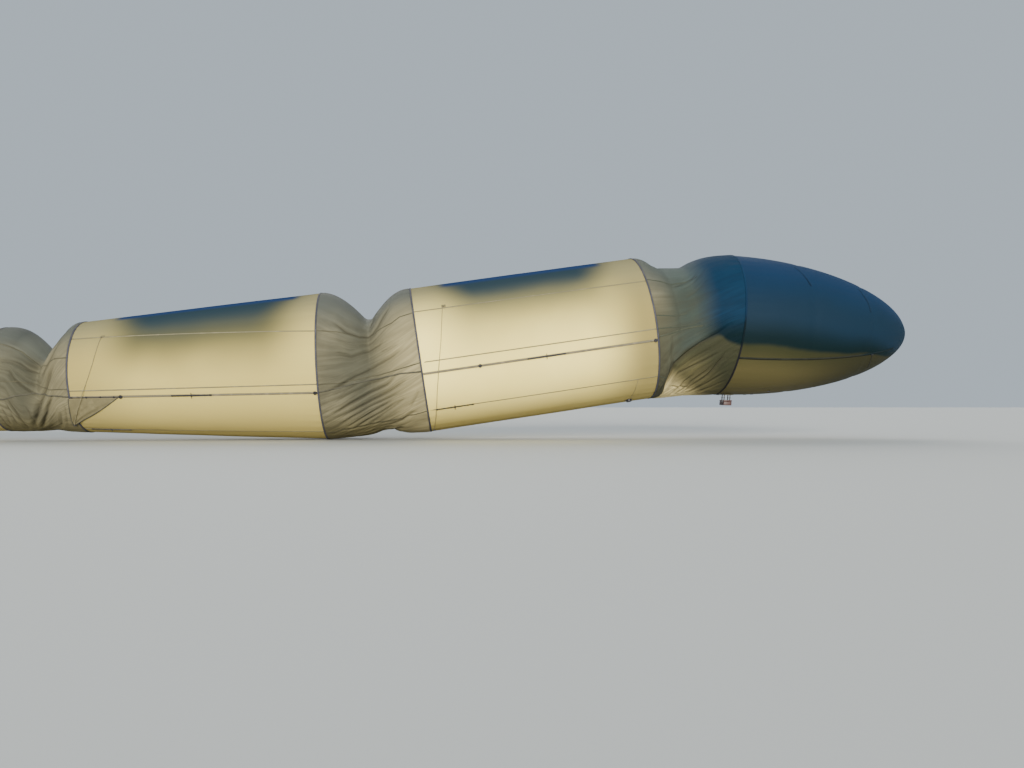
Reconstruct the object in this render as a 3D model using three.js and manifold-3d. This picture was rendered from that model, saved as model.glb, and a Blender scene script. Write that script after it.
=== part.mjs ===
// An inflated airship of five gas cells, strung in line and joined by slack fabric sleeves, as it lies on a field
// while it is being filled: the nose and fore cells float, the others still rest on the ground.
// Millimetres, +X towards the nose, +Z up, origin on the middle cell's axis at half its length.
import * as THREE from "three";
import { mergeVertices } from "three/addons/utils/BufferGeometryUtils.js";
import Module from "manifold-3d";

const wasm = await Module();
wasm.setup();

// Driving sizes
const FULL_RADIUS = 1675; // the nose and fore cells, outside
const CELL_LENGTH = 5230; // middle of hoop to middle of hoop
const NOSE_LENGTH = 4610;
const TAIL_LENGTH = 5000;
const SKIN = 10; // thickness of the envelope
const FACETS = 40; // sides round a cell
const SEAT = 0.3; // running gap between touching pieces

const DOME_DEPTH = 0.42; // of the radius, at each closed end
const DOME_STEPS = 3;
const PORT_RADIUS = 90; // filling port, in the dome behind each cell
const LAND = 45; // straight stretch of envelope on the cell's side of a hoop's middle
const LIP = 30; // and on the other side, where the dome starts
const HOOP = { width: 48, height: 14 };
// A sleeve's slack draws it in by a fraction of its radius. The notch in its top is a V that runs out before the
// hoops, at a fraction of the way to them.
const SLEEVE = { lift: 3, rows: 6, slack: 0.03, valley: 0.68 };
const STRAP = { width: 50, height: 12, start: 60 };
const KNOB = { radius: 42, height: 34 };
const BAR = { length: 850, width: 44, height: 16, pin: 22, pinLength: 110 };
// A stay runs clear of the rail, the bars and the panel that it crosses.
const STAY = { width: 14, height: 12, lift: 30, start: 44 };
const TAB = { length: 90, width: 70, height: 16 };
const PANEL = { back: 44, corner: 60, thickness: 8 };
const BATTEN = { width: 36, height: 15 };

// Each cell from tail to nose: radius behind and in front, length, pitch, and the gap of sleeve in front of it
// with that sleeve's own pitch. A notch is the V in a sleeve's slack top: how deep, how far along the sleeve, and
// the angle in radians from straight up over which it fades out.
const CELLS = [
  { name: "tail", rear: 260, front: 890, length: TAIL_LENGTH, pitch: -0.5, gap: 1480, gapPitch: 1.2,
    notch: { depth: 200, at: 0.5, angle: 0.55 } },
  { name: "aft", rear: 930, front: 1150, length: CELL_LENGTH, pitch: 3.2, gap: 1690, gapPitch: 1.9,
    notch: { depth: 600, at: 0.53, angle: 0.8 } },
  { name: "mid", rear: 1237, front: FULL_RADIUS, length: CELL_LENGTH, pitch: 2.95, gap: 2185, gapPitch: 3.9,
    notch: { depth: 680, at: 0.51, angle: 0.62 } },
  { name: "fore", rear: FULL_RADIUS, front: FULL_RADIUS, length: CELL_LENGTH, pitch: 8.5, gap: 2033, gapPitch: 3.1,
    notch: { depth: 280, at: 0.36, angle: 0.75 } },
  { name: "nose", rear: FULL_RADIUS, front: 0, length: NOSE_LENGTH, pitch: -5.5 },
];
const ROOT = 2;
const NOSE_RISE = 2.75; // degrees by which the nose's middle line rises from square to its hoop

// Angles above the horizontal, in degrees, of what is fastened along each side of a cell.
const LINES = {
  aft: { side: -22.5, lower: -67.5, tab: 38, foot: -51 },
  mid: { side: -22.5, lower: -67.5, tab: 38, foot: -51 },
  fore: { side: -13.5, lower: -45, tab: 38, foot: -78 },
};
const SIDES = [
  { name: "left", sign: 1 },
  { name: "right", sign: -1 },
];
// Places along a cell, as fractions of its length from the hoop behind.
const KNOB_AT = 0.2;
const SIDE_BAR_AT = { aft: 0.49, mid: 0.49, fore: 0.52 };
const LOWER_BAR_AT = 0.115;
const TAB_AT = 0.12;

const rad = THREE.MathUtils.degToRad;
const material = (color, roughness, metalness = 0) => new THREE.MeshStandardMaterial({ color, roughness, metalness });
const LOOKS = {
  envelope: () => material(0xcbbf98, 0.55),
  nose: () => material(0x4a5f72, 0.5),
  sleeve: () => material(0x9a947e, 0.75),
  hoop: () => material(0x474c63, 0.6),
  strap: () => material(0x7a7363, 0.8),
  fitting: () => material(0x17171a, 0.45),
  patch: () => material(0x968a6e, 0.8),
  rope: () => material(0x6b6658, 0.9),
  box: () => material(0x5a2a20, 0.5),
  metal: () => material(0xa7a9ac, 0.35, 0.9),
  blade: () => material(0x1d1e20, 0.35),
};

// Keeps only the positions, with shared corners merged.
function bare(geometry) {
  const flat = geometry.index ? geometry.toNonIndexed() : geometry.clone();
  const out = new THREE.BufferGeometry();
  out.setAttribute("position", flat.getAttribute("position"));
  return mergeVertices(out, 1e-3);
}

function toSolid(geometry) {
  const g = bare(geometry);
  const vertProperties = new Float32Array(g.attributes.position.array);
  return new wasm.Manifold(new wasm.Mesh({ numProp: 3, vertProperties, triVerts: new Uint32Array(g.index.array) }));
}

function toGeometry(solid) {
  const mesh = solid.getMesh();
  const out = new THREE.BufferGeometry();
  out.setAttribute("position", new THREE.BufferAttribute(new Float32Array(mesh.vertProperties), 3));
  out.setIndex(new THREE.BufferAttribute(new Uint32Array(mesh.triVerts), 1));
  return out;
}

const fuse = (geometries) => toGeometry(geometries.map(toSolid).reduce((a, b) => a.add(b)));

// A body of revolution about X, from [x, radius] points, with a ridge straight up.
function turned(points, facets = FACETS) {
  const profile = points.map(([x, r]) => new THREE.Vector2(Math.max(r, 0), x));
  return bare(new THREE.LatheGeometry(profile, facets).rotateZ(-Math.PI / 2));
}

// A closed slab between two like grids of points: inner[i][j] and outer[i][j]. A grid that wraps closes on itself.
function slab(inner, outer, wraps = false) {
  const rows = inner.length;
  const cols = inner[0].length;
  const points = [...inner.flat(), ...outer.flat()];
  const at = (layer, i, j) => layer * rows * cols + i * cols + (j % cols);
  const index = [];
  const quad = (a, b, c, d) => index.push(a, b, c, a, c, d);
  const across = wraps ? cols : cols - 1;
  for (let i = 0; i + 1 < rows; i++) {
    for (let j = 0; j < across; j++) {
      quad(at(1, i, j), at(1, i + 1, j), at(1, i + 1, j + 1), at(1, i, j + 1));
      quad(at(0, i, j), at(0, i, j + 1), at(0, i + 1, j + 1), at(0, i + 1, j));
    }
    if (!wraps) {
      quad(at(0, i, 0), at(0, i + 1, 0), at(1, i + 1, 0), at(1, i, 0));
      quad(at(0, i, cols - 1), at(1, i, cols - 1), at(1, i + 1, cols - 1), at(0, i + 1, cols - 1));
    }
  }
  for (let j = 0; j < across; j++) {
    quad(at(0, 0, j), at(1, 0, j), at(1, 0, j + 1), at(0, 0, j + 1));
    quad(at(0, rows - 1, j), at(0, rows - 1, j + 1), at(1, rows - 1, j + 1), at(1, rows - 1, j));
  }
  const g = new THREE.BufferGeometry().setFromPoints(points);
  g.setIndex(index);
  const solid = toSolid(g);
  if (solid.volume() > 0) return toGeometry(solid);
  for (let k = 0; k < index.length; k += 3) [index[k], index[k + 1]] = [index[k + 1], index[k]];
  g.setIndex(index);
  return toGeometry(toSolid(g));
}

function box(x0, x1, y0, y1, z0, z1) {
  const g = new THREE.BoxGeometry(x1 - x0, y1 - y0, z1 - z0);
  return g.translate((x0 + x1) / 2, (y0 + y1) / 2, (z0 + z1) / 2);
}

// A short upright cylinder standing on the hull at x.
function knob(x, radius, height, foot) {
  return new THREE.CylinderGeometry(radius * 0.8, radius, height, 12).rotateX(Math.PI / 2)
    .translate(x, 0, foot + height / 2);
}

function place(group, name, geometry, look) {
  const mesh = new THREE.Mesh(geometry, LOOKS[look]());
  mesh.name = name;
  group.add(mesh);
  return mesh;
}

// The blunt nose narrows to its tip along this curve, drawn in straight rows.
const NOSE_ROWS = [0, 0.18, 0.36, 0.52, 0.66, 0.78, 0.88, 0.95, 0.985, 1];
const noseCurve = (t) => (1 - t ** 1.9) ** 0.55;

// Radius of the cell's outside at x, along a ridge.
function radiusAt(cell, x) {
  if (cell.name === "nose") {
    const t = THREE.MathUtils.clamp((x - LAND) / (cell.length - LAND), 0, 1);
    const row = Math.max(1, NOSE_ROWS.findIndex((end) => t <= end));
    const [from, to] = [NOSE_ROWS[row - 1], NOSE_ROWS[row]];
    return cell.rear * THREE.MathUtils.lerp(noseCurve(from), noseCurve(to), (t - from) / (to - from));
  }
  const t = THREE.MathUtils.clamp((x - LAND) / (cell.length - 2 * LAND), 0, 1);
  return THREE.MathUtils.lerp(cell.rear, cell.front, t);
}

// What the faceted hull measures from its axis at an angle, where a ridge measures 1.
function facetScale(angle) {
  const step = 360 / FACETS;
  const off = THREE.MathUtils.euclideanModulo(angle, step) - step / 2;
  return Math.cos(rad(step / 2)) / Math.cos(rad(off));
}

// Outline of a cell's outside from the dome behind to the dome in front, as [x, radius].
function outline(cell, shrink) {
  const dome = (x, r, way) => {
    const depth = DOME_DEPTH * r - shrink;
    return Array.from({ length: DOME_STEPS }, (_, i) => {
      const a = ((i + 1) / DOME_STEPS) * (Math.PI / 2);
      return [x + way * depth * Math.sin(a), (r - shrink) * Math.cos(a)];
    });
  };
  const behind = dome(-LIP, cell.rear, -1).reverse();
  behind[0][1] = PORT_RADIUS;
  const out = [...behind, [-LIP, cell.rear - shrink], [LAND, cell.rear - shrink]];
  if (cell.name === "nose") {
    for (const t of NOSE_ROWS.slice(1)) {
      const x = LAND + t * (cell.length - LAND - shrink);
      out.push([x, t === 1 ? 0 : cell.rear * noseCurve(t) - shrink]);
    }
    return out;
  }
  const end = cell.length;
  out.push([end - LAND, cell.front - shrink], [end + LIP, cell.front - shrink]);
  return [...out, ...dome(end + LIP, cell.front, 1)];
}

function envelope(cell) {
  const outer = outline(cell, 0);
  const inner = outline(cell, SKIN);
  return turned([...inner.reverse(), ...outer]);
}

function hoop(radius) {
  const half = HOOP.width / 2;
  const low = radius + SEAT;
  const high = radius + HOOP.height;
  return turned([[-half, low], [-half, high], [half, high], [half, low], [-half, low]]);
}

// A frame on the hull at an angle: +X forward along the hull, +Z straight out of it, origin at the hoop behind.
function hullFrame(cell, angle, sign) {
  const scale = facetScale(angle);
  const frame = new THREE.Group();
  const turn = new THREE.Group();
  turn.rotation.x = sign * -rad(90 - angle);
  frame.add(turn);
  const slope = new THREE.Group();
  const run = cell.length - 2 * LAND;
  slope.position.set(LAND, 0, cell.rear * scale);
  slope.rotation.y = -Math.atan(((cell.front - cell.rear) * scale) / run);
  turn.add(slope);
  return { frame, slope };
}

function sideRail(cell) {
  const end = cell.length - STRAP.start - LAND;
  const top = STRAP.height;
  return fuse([
    box(STRAP.start - LAND, end, -STRAP.width / 2, STRAP.width / 2, SEAT, top),
    knob(cell.length * KNOB_AT, KNOB.radius, KNOB.height, 2),
    knob(end - KNOB.radius, KNOB.radius, KNOB.height, 2),
  ]);
}

function mountBar(foot) {
  const half = BAR.length / 2;
  return fuse([
    box(-half, half, -BAR.width / 2, BAR.width / 2, foot, foot + BAR.height),
    box(-BAR.pin / 2, BAR.pin / 2, -BAR.pinLength / 2, BAR.pinLength / 2, foot + 2, foot + BAR.height + 10),
  ]);
}

const hullPoint = (cell, x, angle, lift, sign) => {
  const r = radiusAt(cell, x) * facetScale(angle) + lift;
  return new THREE.Vector3(x, sign * r * Math.cos(rad(angle)), r * Math.sin(rad(angle)));
};

// The angles of the ridges between two angles, with both ends.
function ridgesBetween(low, high) {
  const step = 360 / FACETS;
  const out = [low];
  for (let a = Math.ceil(low / step + 0.05) * step; a < high - 0.5; a += step) out.push(a);
  return [...out, high];
}

// A thin band of something laid on the hull between two angles; span(angle) gives its x ends there.
function laidOn(cell, sign, low, high, span, thickness, rise = () => 0) {
  const grid = (lift) => ridgesBetween(low, high)
    .map((a) => span(a).map((x) => hullPoint(cell, x, a, lift + rise(a), sign)));
  return slab(grid(2 * SEAT), grid(2 * SEAT + thickness));
}

// The triangular fabric panel between the hoop and the knob, below the side rail.
function cornerPanel(cell, sign, lines) {
  const high = lines.side - 2.2;
  const low = lines.foot + 3;
  const front = cell.length * KNOB_AT;
  const span = (a) => [PANEL.back, THREE.MathUtils.lerp(PANEL.back + PANEL.corner, front, (a - low) / (high - low))];
  return laidOn(cell, sign, low, high, span, PANEL.thickness);
}

// A rope down the hull's side, slanting back from its tab to its foot by the hoop.
function stay(cell, sign, lines) {
  const low = lines.foot;
  const high = lines.tab;
  const top = cell.length * TAB_AT;
  const start = (a) => THREE.MathUtils.mapLinear(a, low, high, STAY.start, top);
  const rope = laidOn(cell, sign, low, high, (a) => [start(a), start(a) + STAY.width], STAY.height, () => STAY.lift);
  const half = THREE.MathUtils.radToDeg(TAB.width / 2 / FULL_RADIUS);
  const block = STAY.lift + STAY.height;
  const tab = laidOn(cell, sign, high - half, high + half, () => [top - 10, top + TAB.length], block);
  const foot = laidOn(cell, sign, low - half, low + half, () => [STAY.start - 6, STAY.start + 50], block);
  return fuse([rope, tab, foot]);
}

// A slack sleeve between the hoops of two cells: rings that turn from one hoop's plane to the next one's.
function sleeve(from, to, behind, front, notch) {
  const start = HOOP.width / 2 + SEAT;
  const half = SLEEVE.rows / 2;
  const rings = (lift) =>
    Array.from({ length: SLEEVE.rows + 1 }, (_, i) => {
      const s = i <= half ? (notch.at * i) / half : notch.at + ((1 - notch.at) * (i - half)) / half;
      const spot = from.position.clone().addScaledVector(from.ahead, start)
        .lerp(to.position.clone().addScaledVector(to.ahead, -start), s);
      const tilt = THREE.MathUtils.lerp(from.pitch, to.pitch, s);
      return Array.from({ length: FACETS }, (_, j) => {
        const a = (j / FACETS) * 2 * Math.PI; // 0 is straight up
        const away = s < notch.at ? 1 - s / notch.at : (s - notch.at) / (1 - notch.at);
        const valley = Math.max(0, 1 - away / SLEEVE.valley);
        const sag = notch.depth * valley * Math.exp(-((Math.min(a, 2 * Math.PI - a) / notch.angle) ** 2));
        const slack = SLEEVE.slack * behind * Math.sin(Math.PI * s) ** 2;
        const r = THREE.MathUtils.lerp(behind, front, s) + SLEEVE.lift + lift - sag - slack;
        return new THREE.Vector3(-r * Math.cos(a) * Math.sin(rad(tilt)), r * Math.sin(a),
          r * Math.cos(a) * Math.cos(rad(tilt))).add(spot);
      });
    });
  return slab(rings(0), rings(SKIN), true);
}

const group = new THREE.Group();

// Lays the cells out from the root both ways: each frame is at the middle of the cell's hoop behind.
const ahead = (pitch) => new THREE.Vector3(Math.cos(rad(pitch)), 0, Math.sin(rad(pitch)));
const spots = [];
spots[ROOT] = ahead(CELLS[ROOT].pitch).multiplyScalar(-CELLS[ROOT].length / 2);
const step = (cell) =>
  ahead(cell.pitch).multiplyScalar(cell.length).addScaledVector(ahead(cell.gapPitch), cell.gap);
for (let i = ROOT + 1; i < CELLS.length; i++) spots[i] = spots[i - 1].clone().add(step(CELLS[i - 1]));
for (let i = ROOT - 1; i >= 0; i--) spots[i] = spots[i + 1].clone().sub(step(CELLS[i]));

function sideFittings(frame, cell) {
  const lines = LINES[cell.name];
  for (const { name, sign } of SIDES) {
    const side = hullFrame(cell, lines.side, sign);
    frame.add(side.frame);
    place(side.slope, `${cell.name}_rail_${name}`, sideRail(cell), "strap");
    const bar = place(side.slope, `${cell.name}_bar_${name}`, mountBar(STRAP.height + SEAT), "fitting");
    bar.position.x = cell.length * SIDE_BAR_AT[cell.name] - LAND;
    const lower = hullFrame(cell, lines.lower, sign);
    frame.add(lower.frame);
    const lowBar = place(lower.slope, `${cell.name}_low_bar_${name}`, mountBar(SEAT), "fitting");
    lowBar.position.x = cell.length * LOWER_BAR_AT - LAND;
    place(frame, `${cell.name}_stay_${name}`, stay(cell, sign, lines), "rope");
    if (cell.name === "mid") {
      place(frame, `${cell.name}_panel_${name}`, cornerPanel(cell, sign, lines), "patch");
      const foot = STRAP.height + SEAT;
      const batten = box(STRAP.start - LAND, cell.length * KNOB_AT - KNOB.radius - LAND,
        -BATTEN.width / 2, BATTEN.width / 2, foot, foot + BATTEN.height);
      place(side.slope, `${cell.name}_batten_${name}`, batten, "fitting");
    }
  }
}

// Shears what is made about the nose's axis up along its risen middle line. Its rings stay square to the hoop.
function risen(geometry) {
  return geometry.applyMatrix4(new THREE.Matrix4().makeShear(0, Math.tan(rad(NOSE_RISE)), 0, 0, 0, 0));
}

function noseFittings(frame, cell) {
  const angle = -31.5;
  for (const { name, sign } of SIDES) {
    const rows = NOSE_ROWS.slice(0, 7).map((t) => LAND + t * (cell.length - LAND));
    const grid = (lift) => rows.map((x) => {
      const r = radiusAt(cell, x);
      return [-1, 1].map((way) => {
        const a = angle + THREE.MathUtils.radToDeg((way * STRAP.width) / 2 / r);
        return hullPoint(cell, x, a, lift, sign);
      });
    });
    place(frame, `nose_rail_${name}`, risen(slab(grid(2 * SEAT), grid(2 * SEAT + STRAP.height))), "strap");
  }
  const drop = cell.rear + 130;
  const boxSize = { length: 200, width: 320, height: 125 };
  const x = 190;
  place(frame, "instrument_box", risen(box(x, x + boxSize.length, -boxSize.width / 2, boxSize.width / 2,
    -drop - boxSize.height, -drop)), "box");
  const pad = laidOn(cell, 1, -94.5, -85.5, () => [x - 40, x + boxSize.length + 40], 14);
  const strapTop = -cell.rear + 9;
  place(frame, "box_hanger", risen(fuse([
    pad,
    box(x + 15, x + 45, -90, -60, -drop + SEAT, strapTop),
    box(x + 15, x + 45, 60, 90, -drop + SEAT, strapTop),
    box(x + boxSize.length - 45, x + boxSize.length - 15, -90, -60, -drop + SEAT, strapTop),
    box(x + boxSize.length - 45, x + boxSize.length - 15, 60, 90, -drop + SEAT, strapTop),
  ])), "fitting");
}

function tailFittings(frame, cell) {
  const end = -DOME_DEPTH * cell.rear - LIP;
  place(frame, "tail_cap", turned([[end - 40, 0], [end - 40, 150], [end - SEAT, 230], [end - SEAT, 0]]), "metal");
  place(frame, "motor", turned([[end - 330, 0], [end - 330, 100], [end - 300, 120], [end - 60, 120],
    [end - 40 - SEAT, 100], [end - 40 - SEAT, 0]], 24), "fitting");
  const hub = end - 330 - 6;
  const blade = (way) => {
    const shape = new THREE.Shape();
    shape.moveTo(-38, 40).lineTo(-62, 200).lineTo(-58, 450).quadraticCurveTo(-45, 600, 0, 610);
    shape.quadraticCurveTo(40, 590, 42, 450).lineTo(40, 200).lineTo(30, 40).closePath();
    const g = new THREE.ExtrudeGeometry(shape, { depth: 14, bevelEnabled: false, curveSegments: 6 });
    return g.translate(0, 0, -7).rotateY(Math.PI / 2 + way * 0.35).rotateX(way > 0 ? 0 : Math.PI)
      .translate(hub - 60, 0, 0);
  };
  place(frame, "propeller", fuse([
    turned([[hub - 190, 0], [hub - 150, 55], [hub - 60, 80], [hub, 85], [hub, 22], [end - 330 - SEAT, 22],
      [end - 330 - SEAT, 0]], 24),
    blade(1),
    blade(-1),
  ]), "blade");
}

CELLS.forEach((cell, i) => {
  const frame = new THREE.Group();
  frame.position.copy(spots[i]);
  frame.rotation.y = -rad(cell.pitch);
  group.add(frame);
  const isNose = cell.name === "nose";
  const shaped = (geometry) => (isNose ? risen(geometry) : geometry);
  place(frame, `${cell.name}_envelope`, shaped(envelope(cell)), isNose ? "nose" : "envelope");
  place(frame, `${cell.name}_rear_hoop`, shaped(hoop(cell.rear)), "hoop");
  if (cell.front) {
    place(frame, `${cell.name}_front_hoop`, hoop(cell.front), "hoop").position.x = cell.length;
  }
  if (LINES[cell.name]) sideFittings(frame, cell);
  if (isNose) noseFittings(frame, cell);
  if (cell.name === "tail") tailFittings(frame, cell);
  const next = CELLS[i + 1];
  if (next) {
    const axis = ahead(cell.pitch);
    const from = { position: spots[i].clone().addScaledVector(axis, cell.length), ahead: axis, pitch: cell.pitch };
    const to = { position: spots[i + 1], ahead: ahead(next.pitch), pitch: next.pitch };
    place(group, `${cell.name}_sleeve`, sleeve(from, to, cell.front, next.rear, cell.notch), "sleeve");
  }
});

export default group;
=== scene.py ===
# A segmented airship close to the ground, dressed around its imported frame. Metres, +X towards the nose.
import math
import bpy
import numpy as np
from mathutils import Matrix, Vector


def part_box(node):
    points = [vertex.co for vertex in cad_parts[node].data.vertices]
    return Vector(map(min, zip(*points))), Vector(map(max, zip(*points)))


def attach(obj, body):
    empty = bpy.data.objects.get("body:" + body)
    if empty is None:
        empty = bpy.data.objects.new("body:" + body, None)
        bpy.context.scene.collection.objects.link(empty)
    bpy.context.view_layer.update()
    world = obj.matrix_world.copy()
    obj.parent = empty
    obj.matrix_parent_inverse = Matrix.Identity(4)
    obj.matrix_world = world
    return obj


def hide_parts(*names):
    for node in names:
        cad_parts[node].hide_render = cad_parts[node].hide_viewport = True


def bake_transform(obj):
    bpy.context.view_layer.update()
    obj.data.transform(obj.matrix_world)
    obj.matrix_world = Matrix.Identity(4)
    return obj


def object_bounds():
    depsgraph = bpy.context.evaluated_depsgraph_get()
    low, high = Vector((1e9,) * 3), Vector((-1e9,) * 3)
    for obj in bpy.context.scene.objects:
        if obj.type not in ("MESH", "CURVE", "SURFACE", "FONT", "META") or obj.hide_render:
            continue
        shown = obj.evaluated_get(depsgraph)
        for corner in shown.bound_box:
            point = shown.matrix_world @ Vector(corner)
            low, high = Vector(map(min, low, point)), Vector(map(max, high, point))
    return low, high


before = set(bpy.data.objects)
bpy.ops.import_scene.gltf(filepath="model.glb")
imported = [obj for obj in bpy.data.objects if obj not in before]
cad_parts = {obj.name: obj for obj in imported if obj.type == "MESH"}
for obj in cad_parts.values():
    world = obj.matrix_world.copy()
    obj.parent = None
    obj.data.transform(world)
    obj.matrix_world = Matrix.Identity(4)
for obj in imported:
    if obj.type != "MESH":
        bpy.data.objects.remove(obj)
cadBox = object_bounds()
bpy.ops.object.select_all(action="DESELECT")
print("frame loaded:", len(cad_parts), "nodes")


# The camera stands low, off the right side, and looks up a little.
cameraFacts = {
    "place": (5.076, -19.944, -0.790), "yaw": 5.32, "pitch": 1.49, "focal": 850 / 1024 * 36, "sensor": 36,
}


def addCamera(facts):
    bpy.ops.object.camera_add(location=facts["place"])
    camera = bpy.context.object
    camera.rotation_euler = (math.radians(90 + facts["pitch"]), 0, math.radians(-facts["yaw"]))
    camera.data.lens = facts["focal"]
    camera.data.sensor_width = facts["sensor"]
    camera.data.clip_end = 500
    bpy.context.scene.camera = camera


addCamera(cameraFacts)
print("camera placed")


# Each cell's own frame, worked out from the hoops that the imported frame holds.
cellFacts = {
    "names": ["tail", "aft", "mid", "fore", "nose"],
    "hoopHeight": 0.014,
    "domeDepth": 0.42,  # of the radius
    "lip": 0.030,  # from a hoop's middle to where its dome starts
    "nosePitch": -5.5,
    "noseRise": 2.75,  # degrees by which the nose's middle line rises from square to its hoop
    "noseLength": 4.610,
    "noseCurve": (1.9, 0.55),
}
handSides = ((1, "right"), (-1, "left"))


def ringOf(node):
    low, high = (Vector(corner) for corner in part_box(node))
    return (low + high) / 2, (high.y - low.y) / 2 - cellFacts["hoopHeight"]


def findCells():
    found = {}
    for name in cellFacts["names"]:
        origin, rear = ringOf(name + "_rear_hoop")
        if name == "nose":
            pitch = math.radians(cellFacts["nosePitch"])
            end, front = origin + Vector((math.cos(pitch), 0, math.sin(pitch))) * cellFacts["noseLength"], 0.0
        else:
            end, front = ringOf(name + "_front_hoop")
        axis = (end - origin).normalized()
        found[name] = {
            "name": name, "origin": origin, "axis": axis, "length": (end - origin).length,
            "rear": rear, "front": front, "up": Vector((-axis.z, 0, axis.x)),
            "rise": math.tan(math.radians(cellFacts["noseRise"])) if name == "nose" else 0.0,
        }
    return found


cells = findCells()


def noseRadius(t):
    bend, close = cellFacts["noseCurve"]
    return np.clip(1 - np.clip(t, 0, 1) ** bend, 0, None) ** close


def hullRadius(cell, x):
    t = np.clip(x / cell["length"], 0, 1)
    if cell["name"] == "nose":
        return cell["rear"] * noseRadius(t)
    return cell["rear"] + (cell["front"] - cell["rear"]) * t


# A place on a cell: x from the hoop behind, degrees from straight up towards the right side, and radius.
def onCell(cell, x, degrees, radius):
    turn = np.radians(degrees)
    origin, axis, up = (np.array(cell[key]) for key in ("origin", "axis", "up"))
    out = np.multiply.outer(np.cos(turn) * radius + x * cell["rise"], up)
    out = out - np.multiply.outer(np.sin(turn) * radius, (0, 1, 0))
    return origin + np.multiply.outer(x, axis) + out


# A matrix that stands +Z straight out of the hull and lays +X forward along it.
def hullSeat(cell, x, degrees, lift=0.0):
    step = 0.02
    spot = Vector(onCell(cell, x, degrees, hullRadius(cell, x) + lift))
    here, ahead = (Vector(onCell(cell, at, degrees, hullRadius(cell, at))) for at in (x, x + step))
    forward = (ahead - here).normalized()
    flat = Vector(onCell(cell, x, degrees, 1.0)) - Vector(onCell(cell, x, degrees, 0.0))
    across = flat.cross(forward).normalized()
    outward = forward.cross(across)
    return Matrix.Translation(spot) @ Matrix((forward, across, outward)).transposed().to_4x4()


print("cells found:", ", ".join(f"{c['name']} {c['length']:.2f} m" for c in cells.values()))


# Smooth noise on a lattice, the same every run.
def noise2(x, y, seed):
    def corner(ix, iy):
        h = np.sin(ix * 127.1 + iy * 311.7 + seed * 74.7) * 43758.5453
        return h - np.floor(h)
    ix, iy = np.floor(x), np.floor(y)
    fx, fy = x - ix, y - iy
    fx, fy = fx * fx * (3 - 2 * fx), fy * fy * (3 - 2 * fy)
    low = corner(ix, iy) * (1 - fx) + corner(ix + 1, iy) * fx
    high = corner(ix, iy + 1) * (1 - fx) + corner(ix + 1, iy + 1) * fx
    return low * (1 - fy) + high * fy


def ridges(x, y, seed):
    return 1 - np.abs(2 * noise2(x, y, seed) - 1) * 2


def smoothStep(low, high, x):
    t = np.clip((x - low) / (high - low), 0, 1)
    return t * t * (3 - 2 * t)


def startClean():
    bpy.ops.object.select_all(action="DESELECT")


def pickOnly(piece):
    startClean()
    piece.select_set(True)
    bpy.context.view_layer.objects.active = piece


def rename(piece, name):
    piece.name = piece.data.name = name
    return piece


def cornersOf(piece):
    points = np.empty(len(piece.data.vertices) * 3)
    piece.data.vertices.foreach_get("co", points)
    return points.reshape(-1, 3)


# Merges the active piece's doubled corners, closes its open ends if asked, and turns its faces outwards.
def mend(weld=None, close=False):
    bpy.ops.object.mode_set(mode="EDIT")
    bpy.ops.mesh.select_all(action="SELECT")
    if weld:
        bpy.ops.mesh.remove_doubles(threshold=weld)
    if close:
        bpy.ops.mesh.select_all(action="SELECT")
        bpy.ops.mesh.fill_holes(sides=0)
        bpy.ops.mesh.select_all(action="SELECT")
    bpy.ops.mesh.normals_make_consistent(inside=False)
    bpy.ops.object.mode_set(mode="OBJECT")


# Wraps a flat grid into a tube or hull: place(along, around) gives each point. Its own UV map keeps along,
# around. Sleeves also give how dark the painted shade of a crease is at each point, and where it is across and
# along the pull of the cloth.
def wrapCloth(name, rows, columns, place):
    bpy.ops.mesh.primitive_grid_add(x_subdivisions=rows, y_subdivisions=columns, size=1)
    piece = rename(bpy.context.object, name)
    flat = cornersOf(piece)
    points = np.array(place(flat[:, 0] + 0.5, flat[:, 1] + 0.5))
    piece.data.vertices.foreach_set("co", points[:, :3].ravel())
    for k, label in enumerate(("creaseShade", "flow", "run")[:points.shape[1] - 3]):
        layer = piece.data.attributes.new(label, "FLOAT", "POINT")
        layer.data.foreach_set("value", points[:, 3 + k].astype(np.float32))
    mend(0.0004)
    bpy.ops.object.shade_smooth()
    return piece


def applyAll(piece):
    pickOnly(piece)
    for modifier in list(piece.modifiers):
        bpy.ops.object.modifier_apply(modifier=modifier.name)
    startClean()


def thicken(piece, thickness, offset=0):
    wall = piece.modifiers.new("wall", "SOLIDIFY")
    wall.thickness, wall.offset = thickness, offset
    applyAll(piece)


def smoothed(piece, angle=40):
    pickOnly(piece)
    bpy.ops.object.shade_smooth_by_angle(angle=math.radians(angle))
    startClean()
    return piece


def bevelled(piece, width, segments=2, limit=35, smooth=40):
    edge = piece.modifiers.new("edge", "BEVEL")
    edge.width, edge.segments, edge.limit_method = width, segments, "ANGLE"
    edge.angle_limit = math.radians(limit)
    applyAll(piece)
    return smoothed(piece, smooth)


def settle(piece):
    pickOnly(piece)
    bpy.ops.object.transform_apply(location=True, rotation=True, scale=True)
    startClean()
    return piece


def block(name, size, at, bevel=0.0, segments=2):
    startClean()
    bpy.ops.mesh.primitive_cube_add(size=1, location=at, scale=size)
    piece = rename(settle(bpy.context.object), name)
    return bevelled(piece, bevel, segments) if bevel else piece


def rod(name, radius, length, at, turn=(0, 0, 0), sides=20, bevel=0.0):
    startClean()
    bpy.ops.mesh.primitive_cylinder_add(vertices=sides, radius=radius, depth=length, location=at, rotation=turn)
    piece = rename(settle(bpy.context.object), name)
    return bevelled(piece, bevel) if bevel else smoothed(piece)


def ringPart(name, radius, wire):
    startClean()
    bpy.ops.mesh.primitive_torus_add(major_radius=radius, minor_radius=wire, major_segments=24,
                                     minor_segments=8)
    return smoothed(rename(settle(bpy.context.object), name))


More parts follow.
